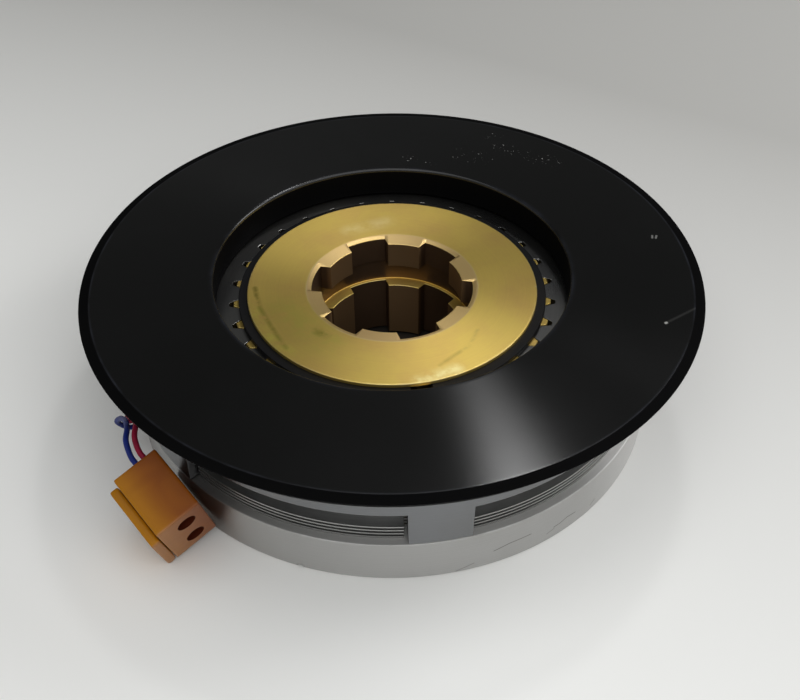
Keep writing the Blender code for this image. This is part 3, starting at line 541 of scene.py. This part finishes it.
def fine_angles(turn, halves, count):
    """Even angles, with three close together at each edge: the halves' degrees to both sides of every
    feature's middle."""
    breaks = np.array([turn + side * half for side in (-1, 1) for half in halves])
    edges = (breaks[None, :] + 360 / count * np.arange(count)[:, None]).ravel()
    even = np.arange(0, 360, angle_spacing)
    every = np.concatenate([even, edges - close_pair, edges, edges + close_pair])
    return np.unique(np.round(every % 360, 4))


slot_major_half = math.degrees(math.asin(spline_width / 2 / spline_major))
slot_minor_half = math.degrees(math.asin(spline_width / 2 / spline_minor))
slot_mid_half = (slot_major_half + slot_minor_half) / 2
tooth_angles = fine_angles(tooth_turn, (tooth_root_half, tooth_tip_half), tooth_count)
slot_angles = fine_angles(spline_turn, (slot_major_half, slot_mid_half, slot_minor_half), spline_count)
angles = np.unique(np.concatenate([tooth_angles, slot_angles]))
retainer_low, retainer_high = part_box("armature_retaining_ring")
retainer_play = 0.15 * MM
ring_base, ring_top = retainer_low.z - retainer_play, retainer_high.z + retainer_play
face_radius, groove_radius = 71.7 * MM, 69.5 * MM
hub_foot, shoulder, teeth_base = 1.0 * MM, 20.9 * MM, 23.9 * MM
journal, shoulder_radius, bore_mouth = 54.7 * MM, 60 * MM, 42.6 * MM
hub_clip_seat, hub_clip_low, hub_clip_high = 53.1 * MM, 2.55 * MM, 4.45 * MM
chamfer_foot = hub_face - 0.9 * MM
relief_radius, relief_top, relief_base = 41.5 * MM, hub_face - 15 * MM, hub_face - 28 * MM
hub_outline = [
    (spline_minor, hub_foot, 0.4 * MM, "spline"),
    (journal, hub_foot, 0.5 * MM),
    (journal, hub_clip_low, sharp),
    (hub_clip_seat, hub_clip_low, sharp),
    (hub_clip_seat, hub_clip_high, sharp),
    (journal, hub_clip_high, sharp),
    (journal, shoulder, sharp),
    (shoulder_radius, shoulder, 0.3 * MM),
    (shoulder_radius, teeth_base, 0.3 * MM),
    (tooth_tip, teeth_base, 0.3 * MM, "teeth"),
    (tooth_tip, ring_base, 0.35 * MM, "teeth"),
    (groove_radius, ring_base, sharp),
    (groove_radius, ring_top, sharp),
    (face_radius, ring_top, 0.1 * MM),
    (face_radius, hub_face, 0.55 * MM),
    (bore_mouth, hub_face, 0.5 * MM),
    (spline_minor, chamfer_foot, 0.35 * MM, "spline"),
    (spline_minor, relief_top, 0.2 * MM, "spline"),
    (relief_radius, relief_top, 0.2 * MM),
    (relief_radius, relief_base, 0.2 * MM),
    (spline_minor, relief_base, 0.4 * MM, "spline"),
]
radii, heights, kinds, wear = rounded(hub_outline)
teeth = tooth_radius(angles, tooth_root, tooth_root_half, tooth_tip, tooth_tip_half)
slots = spline_radius(angles)
offset = radii[:, None] + np.zeros(len(angles))
radius_grid = np.where(
    (kinds == "teeth")[:, None], teeth[None, :] + offset - tooth_tip,
    np.where((kinds == "spline")[:, None], slots[None, :] + offset - spline_minor, offset),
)
height_grid = np.repeat(heights[:, None], len(angles), axis=1)
hub = swept_ring("bronze_hub", radius_grid, height_grid, angles, wear)
bronze = turned_metal(
    "turned_bronze", (0.87, 0.645, 0.17), (0.8, 0.54, 0.17), 0.44, lines=1500, depth=0.012,
    anisotropy=0.5, stain_scale=30, stain_range=(0.42, 0.72), worn_and_sheen=(0.95, 0.82, 0.42), smears=0.12,
    line_shade=0.94,
)
# Painted shade: the bore's walls are painted dark brown, darker still deep in the spline slots, for the
# shade down the bore.
bore_wall_shade, slot_shade = (0.34, 0.21, 0.11), (0.13, 0.08, 0.05)
chamfer_colour, groove_shade = (0.84, 0.6, 0.33), (0.03, 0.02, 0.01)
tree = bronze.node_tree
place = object_place(tree)
radius, height = radius_and_height(tree, place)
inside = ramp(tree, radius, bore_mouth + 0.1 * MM, bore_mouth - 0.2 * MM)
below_chamfer = ramp(tree, height, chamfer_foot, chamfer_foot - 0.2 * MM)
from_ledge = reckon(tree, "ABSOLUTE", reckon(tree, "SUBTRACT", height, relief_base))
# Painted shade on the bore walls and, deeper, in the slots.
bore_wall_shade_mask = times(tree, inside, below_chamfer, ramp(tree, from_ledge, 0.3 * MM, 0.6 * MM))
overlay(bronze, times(tree, bore_wall_shade_mask, 0.97), bore_wall_shade)
slot_shade_depth = ramp(tree, radius, spline_minor + 0.2 * MM, spline_minor + 2.5 * MM)
overlay(bronze, times(tree, bore_wall_shade_mask, slot_shade_depth, 0.9), slot_shade)
on_chamfer = ramp(tree, height, chamfer_foot - 0.05 * MM, chamfer_foot + 0.05 * MM)
overlay(bronze, times(tree, inside, on_chamfer, 0.6), chamfer_colour)
# Painted shade: the groove under the face, where the snap ring sits, is painted near black.
groove_shade_mask = times(
    tree,
    ramp(tree, height, ring_base - 0.1 * MM, ring_base),
    ramp(tree, height, ring_top + 0.1 * MM, ring_top),
    ramp(tree, radius, face_radius + 0.1 * MM, face_radius),
    ramp(tree, radius, groove_radius - 1.5 * MM, groove_radius - 0.5 * MM),
)
overlay(bronze, groove_shade_mask, groove_shade)
patchy = ramp(tree, noise(tree, place, 110.0, 5.0, 0.65), 0.35, 0.6)
# The face's marks: real stains and smears, plus painted highlights, which are pale patches at the back and
# front and a near-white glint at the right edge.
face_stains_and_highlights = (
    ([(-66.7, 13.0), (-66.4, -3.0), (-63.2, -16.8), (-60.5, -27), (-58.2, -35.0)],
     0.2, 1.8, 0.9, (0.3, 0.24, 0.04)),
    ([(-70.0, -3.0), (-66.0, -22.0), (-58.0, -38.0)], 0.5, 5.5, 0.7, (0.9, 0.8, 0.16)),
    ([(-55.0, -5.0), (-47.0, -22.0), (-38.0, -33.0)], 1.0, 14.0, 0.75, (0.74, 0.62, 0.14)),
    ([(32.0, -42.8), (25.5, -52.2), (8.5, -62.3)], 0.1, 1.6, 0.6, (0.5, 0.36, 0.09)),
    # Painted highlight at the back of the face.
    ([(-12.0, 50.5), (9.0, 53.5)], 0.5, 6.5, 0.6, (1.0, 0.82, 0.38)),
    # Painted highlight at the front of the face.
    ([(-3.0, -70.0), (15.0, -66.5)], 0.6, 5.0, 1.0, (1.0, 0.86, 0.4)),
    ([(-42.0, -26.0), (-38.6, -30.0)], 0.3, 3.6, 0.9, (0.42, 0.34, 0.06)),
    # Painted glint on the face's right edge.
    ([(69.2, -17.6), (69.4, -18.2)], 0.3, 0.9, 1.0, (1.0, 0.97, 0.8)),
)
for places, core, edge, strength, colour in face_stains_and_highlights:
    points = [(x, y, hub_face / MM) for x, y in places]
    overlay(bronze, times(tree, patchy, near_line(tree, place, points, core, edge, strength)), colour)
finish(hub, bronze, "rotor", "splined_hub")

# The retaining ring: a black snap ring, split at the front, that sits in the groove under the
# hub's face and stops the armature.
retainer_inner, retainer_outer, retainer_fillet = 69.8 * MM, 76.1 * MM, 0.4 * MM
split_azimuth, split_turn, retainer_columns = 268.0, 8.0, 180


def spun(name, corners, angles, steps=3, closed=True):
    """A plain turned ring: every column has the same rounded outline."""
    radii, heights, _, wear = rounded(corners, steps)
    every = np.ones((1, len(angles)))
    return swept_ring(name, radii[:, None] * every, heights[:, None] * every, angles, wear, closed)


retainer_angles = np.linspace(
    split_azimuth + split_turn / 2, split_azimuth + 360 - split_turn / 2, retainer_columns
)
retainer = spun(
    "snap_ring",
    [
        (retainer_inner, retainer_low.z, retainer_fillet),
        (retainer_outer, retainer_low.z, retainer_fillet),
        (retainer_outer, retainer_high.z, retainer_fillet),
        (retainer_inner, retainer_high.z, retainer_fillet),
    ],
    retainer_angles,
    closed=False,
)
finish(retainer, spring_steel, "rotor", "armature_retaining_ring")

# The armature: a dark oiled steel disc with a raised boss. Its tooth spaces, pointed at their
# ends, show round the hub as a ring of small gaps.
space_inner, space_outer, space_play = 75.2 * MM, 80.9 * MM, 0.385
space_fall = (tooth_root_half - tooth_tip_half) / (tooth_tip - tooth_root)
space_root_half = tooth_root_half + space_play - space_fall * (space_inner - tooth_root)
space_tip_half = tooth_root_half + space_play - space_fall * (space_outer - tooth_root)
space_angles = fine_angles(tooth_turn, (space_root_half, space_tip_half), tooth_count)
spaces = tooth_radius(space_angles, space_inner, space_root_half, space_outer, space_tip_half)


def toothed_disc(name, corners, steps=3):
    """A disc whose inner wall follows the tooth spaces: rows of the kind "spaces" are offset from them."""
    radii, heights, kinds, wear = rounded(corners, steps)
    offset = radii[:, None] + np.zeros(len(space_angles))
    radius_grid = np.where((kinds == "spaces")[:, None], spaces[None, :] + offset - space_inner, offset)
    height_grid = np.repeat(heights[:, None], len(space_angles), axis=1)
    return swept_ring(name, radius_grid, height_grid, space_angles, wear)


plate_low, plate_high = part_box("armature_plate")
rim_share = 0.52
rim_top = plate_low.z + rim_share * (plate_high.z - plate_low.z)
armature_radius = plate_high.x
boss_radius, boss_slope = 97 * MM, 5 * MM
armature = toothed_disc(
    "armature_disc",
    [
        (space_inner, plate_low.z, 0.3 * MM, "spaces"),
        (armature_radius, plate_low.z, 0.6 * MM),
        (armature_radius, rim_top, 0.6 * MM),
        (boss_radius + boss_slope, rim_top, 1 * MM),
        (boss_radius, plate_high.z, 0.6 * MM),
        (space_inner, plate_high.z, 0.3 * MM, "spaces"),
    ],
)
oiled_steel = turned_metal(
    "oiled_steel", (0.24, 0.24, 0.24), (0.32, 0.31, 0.29), 0.26, lines=1400, depth=0.02,
    anisotropy=0.3, stain_scale=20, worn_and_sheen=(0.4, 0.4, 0.39), smears=0.1,
)
# Painted highlight: beyond about 108 mm the rim is painted a lighter steel, for the light it reflects in the
# carrier's windows.
rim_highlight_start, rim_highlight_end, rim_highlight_colour = 107.5 * MM, 109.5 * MM, (0.42, 0.42, 0.425)
tree = oiled_steel.node_tree
radius, height = radius_and_height(tree, object_place(tree))
overlay(oiled_steel, ramp(tree, radius, rim_highlight_start, rim_highlight_end), rim_highlight_colour)
finish(armature, oiled_steel, "armature", "armature_plate")

# The plate pack: four ground outer plates, notched for the carrier's fingers, and three faced
# inner plates, toothed for the hub. Only the outer plates' edges show, in the windows.
finger_count, finger_turn, finger_half = 6, 266.6, 6.1
finger_thickness, finger_clearance = 10 * MM, 0.3 * MM
carrier_inner = yoke_radius - finger_thickness
outer_plate_radius, outer_plate_bore = yoke_radius - 4 * MM, 84.5 * MM
plate_notch_half, plate_notch_side = finger_half + 0.85, 0.05
plate_notch_halves = (plate_notch_half, plate_notch_half + plate_notch_side)
plate_angles = fine_angles(finger_turn, plate_notch_halves, finger_count)
away = away_from_nearest(plate_angles, finger_turn, finger_count)
plate_edge = np.where(
    away <= plate_notch_half + plate_notch_side / 2, carrier_inner - finger_clearance, outer_plate_radius
)
plate_steel = turned_metal(
    "ground_plate", (0.46, 0.46, 0.45), (0.36, 0.355, 0.34), 0.4, lines=2000, depth=0.03,
    worn_and_sheen=(0.6, 0.6, 0.59),
)
for number in (1, 2, 3, 4):
    node = f"outer_plate_{number}"
    low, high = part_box(node)
    plate_outline = [
        (outer_plate_bore, low.z, 0.15 * MM), (outer_plate_radius, low.z, 0.2 * MM, "edge"),
        (outer_plate_radius, high.z, 0.2 * MM, "edge"), (outer_plate_bore, high.z, 0.15 * MM),
    ]
    radii, heights, kinds, wear = rounded(plate_outline, 2)
    offset = radii[:, None] + np.zeros(len(plate_angles))
    radius_grid = np.where(
        (kinds == "edge")[:, None], plate_edge[None, :] + offset - outer_plate_radius, offset
    )
    height_grid = np.repeat(heights[:, None], len(plate_angles), axis=1)
    plate = swept_ring(f"outer_disc_{number}", radius_grid, height_grid, plate_angles, wear)
    finish(plate, plate_steel, f"outer_{number}", node)
plate_facing = turned_metal(
    "sintered_facing", (0.42, 0.34, 0.22), (0.3, 0.25, 0.18), 0.55, lines=900, depth=0.1, metallic=0.6
)
for number in (1, 2, 3):
    node = f"inner_plate_{number}"
    low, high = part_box(node)
    plate_outline = [
        (space_inner, low.z, 0.1 * MM, "spaces"), (armature_radius, low.z, 0.15 * MM),
        (armature_radius, high.z, 0.15 * MM), (space_inner, high.z, 0.1 * MM, "spaces"),
    ]
    plate = toothed_disc(f"inner_disc_{number}", plate_outline, 2)
    finish(plate, plate_facing, f"inner_{number}", node)

# The carrier: a ground steel ring with six fingers that reach down through the plates' notches
# to just above the magnet.
carrier_low, carrier_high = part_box("finger_carrier")
window_share, finger_side, window_start = 0.457, 0.25, 0.1
window_height = window_share * (carrier_high.z - carrier_low.z)
carrier_angles = fine_angles(finger_turn, (finger_half, finger_half + finger_side), finger_count)
radii, heights, kinds, wear = rounded([
    (carrier_inner, carrier_low.z, 0.4 * MM, "foot"), (yoke_radius, carrier_low.z, 0.4 * MM, "foot"),
    (yoke_radius, carrier_high.z, 0.4 * MM), (carrier_inner, carrier_high.z, 0.4 * MM),
])
in_window = away_from_nearest(carrier_angles, finger_turn, finger_count) > finger_half + window_start
radius_grid = np.repeat(radii[:, None], len(carrier_angles), axis=1)
height_grid = np.repeat(heights[:, None], len(carrier_angles), axis=1)
height_grid += np.where((kinds == "foot")[:, None] & in_window[None, :], window_height, 0)
carrier = swept_ring("finger_ring", radius_grid, height_grid, carrier_angles, wear)
# Painted shade: the carrier's steel is painted far darker than the magnet's, for the shade under the
# flange's overhang.
carrier_steel = turned_metal(
    "carrier_steel", (0.25, 0.255, 0.265), (0.22, 0.22, 0.218), 0.34, lines=2400, depth=0.03,
    anisotropy=0.5, stain_scale=12, worn_and_sheen=(0.45, 0.45, 0.45),
)
finish(carrier, carrier_steel, "carrier", "finger_carrier")

# The drive flange: a heavy ring with a deep bore, turned and then blackened. Its face keeps the
# turning lines, which spread the light in a fan, and has a few bright nicks and specks.
flange_low, flange_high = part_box("drive_flange")
flange_radius, flange_top = flange_high.x, flange_high.z
flange_bore, bore_fillet = 87 * MM, 1.6 * MM
spigot_radius = carrier_inner - finger_clearance
rim_base = flange_top - 8 * MM
lower_bevel, upper_bevel = 4.8 * MM, 5 * MM
lip_low, lip_high = 1.3 * MM, 0.9 * MM
flange_columns, flange_steps = 300, 5
flange_outline = [
    (flange_bore, flange_low.z, 0.6 * MM),
    (spigot_radius, flange_low.z, 1.0 * MM),
    (spigot_radius, rim_base, 0.3 * MM),
    (flange_radius - lower_bevel, rim_base, 0.5 * MM),
    (flange_radius, flange_top - lip_low, 0.15 * MM),
    (flange_radius, flange_top - lip_high, 0.15 * MM),
    (flange_radius - upper_bevel, flange_top, 0.5 * MM),
    (flange_bore, flange_top, bore_fillet),
]
flange_angles = np.arange(flange_columns) * 360 / flange_columns
flange = spun("black_flange", flange_outline, flange_angles, flange_steps)
# On the flange the fillet colour is partly real wear of the blackening and partly a painted bluish highlight
# on its edges.
black_oxide = turned_metal(
    "black_oxide", (0.002, 0.002, 0.002), (0.003, 0.003, 0.0031), 0.18, lines=1500, depth=0.004,
    metallic=0.0, anisotropy=0.9, stain_scale=12, worn_and_sheen=(0.02, 0.022, 0.03), smears=0.05,
)
black_side = turned_metal(
    "black_side", (0.003, 0.003, 0.0032), (0.004, 0.004, 0.004), 0.4, lines=1500, depth=0.01,
    metallic=0.0, stain_scale=12, worn_and_sheen=(0.01, 0.01, 0.012), shine=0.01, smears=0.05,
)
dust_colour = (0.5, 0.5, 0.48)
dust_places = (
    ([(29.0, 94.0), (33.0, 92.0)], 1.0, 3.5, 1.0),
    ([(35.0, 89.0), (44.0, 84.5)], 0.5, 2.0, 0.6),
    ([(60.0, 90.0), (72.0, 84.0)], 2.0, 8.0, 0.6),
    ([(84.0, 92.0), (106.0, 72.0)], 1.0, 7.0, 0.8),
    ([(80.0, 107.0), (86.0, 105.0)], 1.0, 4.0, 0.7),
)
nick_places = (
    ([(132.6, -7.9), (133.4, -6.0)], 0.2, 0.7, 0.3),
    ([(134.3, -8.4), (135.4, -6.6)], 0.2, 0.7, 0.3),
    ([(112.6, -71.0), (113.0, -70.8)], 0.4, 0.9, 0.6),
    ([(113.0, -70.8), (121.0, -67.8), (131.8, -63.7)], 0.1, 1.0, 0.035),
)
tree = black_oxide.node_tree
place = object_place(tree)
crumbs = ramp(tree, noise(tree, place, 900, 2.0), 0.69, 0.74)
for places, core, edge, strength in dust_places:
    points = [(x, y, flange_top / MM) for x, y in places]
    dust = times(tree, crumbs, near_line(tree, place, points, core, edge, strength))
    overlay(black_oxide, dust, dust_colour)
for places, core, edge, strength in nick_places:
    points = [(x, y, flange_top / MM) for x, y in places]
    overlay(black_oxide, near_line(tree, place, points, core, edge, strength), dust_colour)
finish(flange, black_oxide, "carrier", "drive_flange")
flange.data.materials.append(black_side)
centres = np.empty(len(flange.data.polygons) * 3)
flange.data.polygons.foreach_get("center", centres)
centre_x, centre_y, centre_z = centres.reshape(-1, 3).T
by_bore = np.hypot(centre_x, centre_y) < flange_bore + 2 * MM
face_depth = np.where(by_bore, bore_fillet + 0.1 * MM, 0.05 * MM)
below_face = (flange_top - centre_z >= face_depth).astype(np.int32)
flange.data.polygons.foreach_set("material_index", below_face)

# The terminal block: moulded in amber plastic, with two round sockets in one end and a stepped
# plate on its outer side. It leans on the magnet where its leads let it lie.
block_corner = Vector((-125.7, -109.4, 34.7)) * MM
block_turn = Euler([math.radians(angle) for angle in (16.3, -16.7, 25.1)]).to_matrix().to_4x4()
block_place = Matrix.Translation(block_corner) @ block_turn
block_width, block_length, block_depth = 22.1 * MM, 32.8 * MM, 36.8 * MM
block_fillet, block_crease = 0.8 * MM, math.radians(40)
socket_radius, socket_depth, socket_pitch, socket_sides = 4.5 * MM, 22 * MM, 17 * MM, 48
socket_across = 0.58 * block_width
socket_levels = [-block_depth / 2 + step * socket_pitch for step in (-0.5, 0.5)]


def rounded_box(name, low, high, fillet, divisions=14):
    """A box with round edges: a cube's grid pushed out to a box shrunk by the fillet, plus the
    fillet's length along the direction from there."""
    shape = bmesh.new()
    bmesh.ops.create_cube(shape, size=2)
    bmesh.ops.subdivide_edges(shape, edges=shape.edges, cuts=divisions, use_grid_fill=True)
    mesh = bpy.data.meshes.new(name)
    shape.to_mesh(mesh)
    shape.free()
    points = np.empty(len(mesh.vertices) * 3)
    mesh.vertices.foreach_get("co", points)
    points = points.reshape(-1, 3)
    low, high = np.array(low), np.array(high)
    half = (high - low) / 2
    near = np.sign(points) * (1 - (1 - np.abs(points)) ** 2)
    core = np.clip(near * half, -(half - fillet), half - fillet)
    push = near * half - core
    length = np.maximum(np.linalg.norm(push, axis=1, keepdims=True), 1e-9)
    places = core + push / length * fillet + (low + high) / 2
    mesh.vertices.foreach_set("co", places.ravel())
    mesh.shade_smooth()
    made = bpy.data.objects.new(name, mesh)
    bpy.context.scene.collection.objects.link(made)
    return made


def drill(piece, cutters):
    """Takes the cutters out of the piece for good."""
    for cutter in cutters:
        taken = piece.modifiers.new("drill", "BOOLEAN")
        taken.operation = "DIFFERENCE"
        taken.object = cutter
    bpy.context.view_layer.update()
    drilled = piece.evaluated_get(bpy.context.evaluated_depsgraph_get())
    cut_mesh = bpy.data.meshes.new_from_object(drilled)
    piece.modifiers.clear()
    piece.data = cut_mesh
    for cutter in cutters:
        bpy.data.objects.remove(cutter)


block = rounded_box("amber_block", (0, 0, -block_depth), (block_width, block_length, 0), block_fillet)
sockets = []
for level in socket_levels:
    shape = bmesh.new()
    bmesh.ops.create_cone(
        shape, cap_ends=True, segments=socket_sides, radius1=socket_radius, radius2=socket_radius,
        depth=2 * socket_depth,
    )
    along = Matrix.Translation((socket_across, 0, level)) @ Matrix.Rotation(math.pi / 2, 4, "X")
    bmesh.ops.transform(shape, matrix=along, verts=shape.verts)
    mesh = bpy.data.meshes.new("socket")
    shape.to_mesh(mesh)
    shape.free()
    socket = bpy.data.objects.new("socket", mesh)
    bpy.context.scene.collection.objects.link(socket)
    sockets.append(socket)
drill(block, sockets)
block.data.transform(block_place)
block.data.shade_smooth()
block.data.set_sharp_from_angle(angle=block_crease)

amber_light, amber_dark, amber_yellow = (0.36, 0.125, 0.004), (0.25, 0.072, 0.003), (0.42, 0.19, 0.006)
amber_pale, amber_red, socket_shade = (0.34, 0.16, 0.075), (0.17, 0.035, 0.004), (0.07, 0.012, 0.004)


def reach_from_corner(tree, place, axis):
    """How far the point lies from the block's corner along one of the block's own axes."""
    along = (block_turn @ Vector(axis)).normalized()
    dot = add(tree, "VectorMath", operation="DOT_PRODUCT")
    tree.links.new(place, dot.inputs[0])
    dot.inputs[1].default_value = along
    return reckon(tree, "SUBTRACT", dot.outputs["Value"], block_corner.dot(along))


amber, tree, shader = new_material("amber_plastic")
place = object_place(tree)
swirl = add(tree, "TexNoise", Scale=34.0, Detail=3.0, Distortion=1.6)
tree.links.new(place, swirl.inputs["Vector"])
cloud = ramp(tree, swirl.outputs["Fac"], 0.35, 0.7)
tree.links.new(blend_colours(tree, cloud, amber_light, amber_dark), shader.inputs["Base Color"])
across_block = reach_from_corner(tree, place, (1, 0, 0))
along_block = reach_from_corner(tree, place, (0, 1, 0))
overlay(amber, times(tree, ramp(tree, across_block, 13 * MM, -2 * MM), 0.6), amber_yellow)
overlay(amber, times(tree, ramp(tree, along_block, 1.0 * MM, 0.3 * MM), 0.75), amber_pale)
overlay(amber, times(tree, ramp(tree, across_block, 4 * MM, 20 * MM), 0.65), amber_red)
# Painted shade: each socket's bore is painted dark, for the shade inside it.
for level in socket_levels:
    mouth = Vector((socket_across, block_fillet, level))
    bottom = mouth + Vector((0, socket_depth, 0))
    points = [tuple(block_place @ end / MM) for end in (mouth, bottom)]
    overlay(amber, near_line(tree, place, points, 4.6, 4.7), socket_shade)
shader.inputs["Roughness"].default_value = 0.38
shader.inputs["Specular IOR Level"].default_value = 0.14
bump = add(tree, "Bump", Strength=0.4, Distance=0.3 * MM)
tree.links.new(noise(tree, place, 120.0, 2.0), bump.inputs["Height"])
tree.links.new(bump.outputs[0], shader.inputs["Normal"])
finish(block, amber, "stator", "terminal_block")

plate_reach, plate_gap, plate_step, plate_fillet = 4.8 * MM, 0.3 * MM, 7 * MM, 1.3 * MM
back_plate = rounded_box(
    "amber_back_plate", (-plate_reach, 0, -block_depth), (-plate_gap, block_length, -plate_step),
    plate_fillet, 8,
)
back_plate.data.transform(block_place)
back_plate.data.set_sharp_from_angle(angle=block_crease)
finish(back_plate, amber, "stator", "block_back_plate")

# The two leads: stranded wire in a thin plastic cover, blue outside and red inside, looping
# from the block's end up and round to the rubber grommet in the magnet's wall.
lead_radius, lead_spread = 1.3 * MM, 4.2 * MM
straight_run, seat_gap, route_spacing = 6 * MM, 0.3 * MM, 1.2 * MM
lead_entry = Vector((14.1 * MM, block_length + seat_gap, -6.0 * MM))
lead_stops = (
    Vector((-133.0, -60.8, 45.5)) * MM,
    Vector((-132.3, -53.0, 45.0)) * MM,
    Vector((-133.5, -42.0, 39.5)) * MM,
    Vector((-137.5, -28.0, 28.0)) * MM,
    Vector((-140.5, -19.5, 17.5)) * MM,
)
grommet_azimuth, grommet_height = math.radians(187), 12 * MM
grommet_face = yoke_radius + 2.2 * MM
hole_place = Matrix.Translation((0, 0, grommet_height)) @ Matrix.Rotation(grommet_azimuth, 4, "Z")


def smooth_route(stops, spacing, steps=12):
    """Points evenly along a smooth curve through the stops, by cubic interpolation, and its length."""
    padded = [stops[0] * 2 - stops[1], *stops, stops[-1] * 2 - stops[-2]]
    dense = []
    for a, b, c, d in zip(padded, padded[1:], padded[2:], padded[3:]):
        for t in np.arange(steps) / steps:
            square_term = (2 * a - 5 * b + 4 * c - d) * t**2
            cube_term = (3 * b - 3 * c + d - a) * t**3
            dense.append(0.5 * (2 * b + (c - a) * t + square_term + cube_term))
    dense.append(stops[-1])
    lengths = np.concatenate([[0], np.cumsum([(b - a).length for a, b in zip(dense, dense[1:])])])
    reach = np.linspace(0, lengths[-1], max(2, round(lengths[-1] / spacing)) + 1)
    dense = np.array(dense)
    return np.stack([np.interp(reach, lengths, dense[:, axis]) for axis in range(3)], axis=1), lengths[-1]


leads = (
    ("blue_lead", 1, (0.01, 0.025, 0.2), (0.008, 0.018, 0.14)),
    ("red_lead", -1, (0.3, 0.01, 0.04), (0.22, 0.008, 0.03)),
)
for name, side, colour, darker in leads:
    aside = side * lead_spread / 2
    start = block_place @ (lead_entry - Vector((aside, 0, 0)))
    straight = block_place @ (lead_entry - Vector((aside, -straight_run, 0)))
    before = hole_place @ Vector((grommet_face + straight_run, 0, -aside))
    end = hole_place @ Vector((grommet_face + seat_gap, 0, -aside))
    bend = [stop + aside * Vector((stop.x, stop.y, 0)).normalized() for stop in lead_stops]
    route, length = smooth_route([start, straight, *bend, before, end], route_spacing)
    curve = bpy.data.curves.new(name + "_cover", "CURVE")
    curve.dimensions = "3D"
    curve.bevel_depth = lead_radius
    curve.bevel_resolution = 5
    curve.use_fill_caps = True
    line = curve.splines.new("POLY")
    line.points.add(len(route) - 1)
    line.points.foreach_set("co", np.c_[route, np.ones(len(route))].ravel())
    wire = bpy.data.objects.new(name + "_cover", curve)
    bpy.context.scene.collection.objects.link(wire)
    plastic = mottled(name + "_plastic", colour, darker, 200, 0.5, grain_depth=0.02, grain_scale=1500)
    finish(wire, plastic, "stator", name)
grommet_rubber = mottled("grommet_rubber", (0.02, 0.02, 0.02), (0.035, 0.035, 0.035), 80, 0.7)
dress("lead_grommet", grommet_rubber)
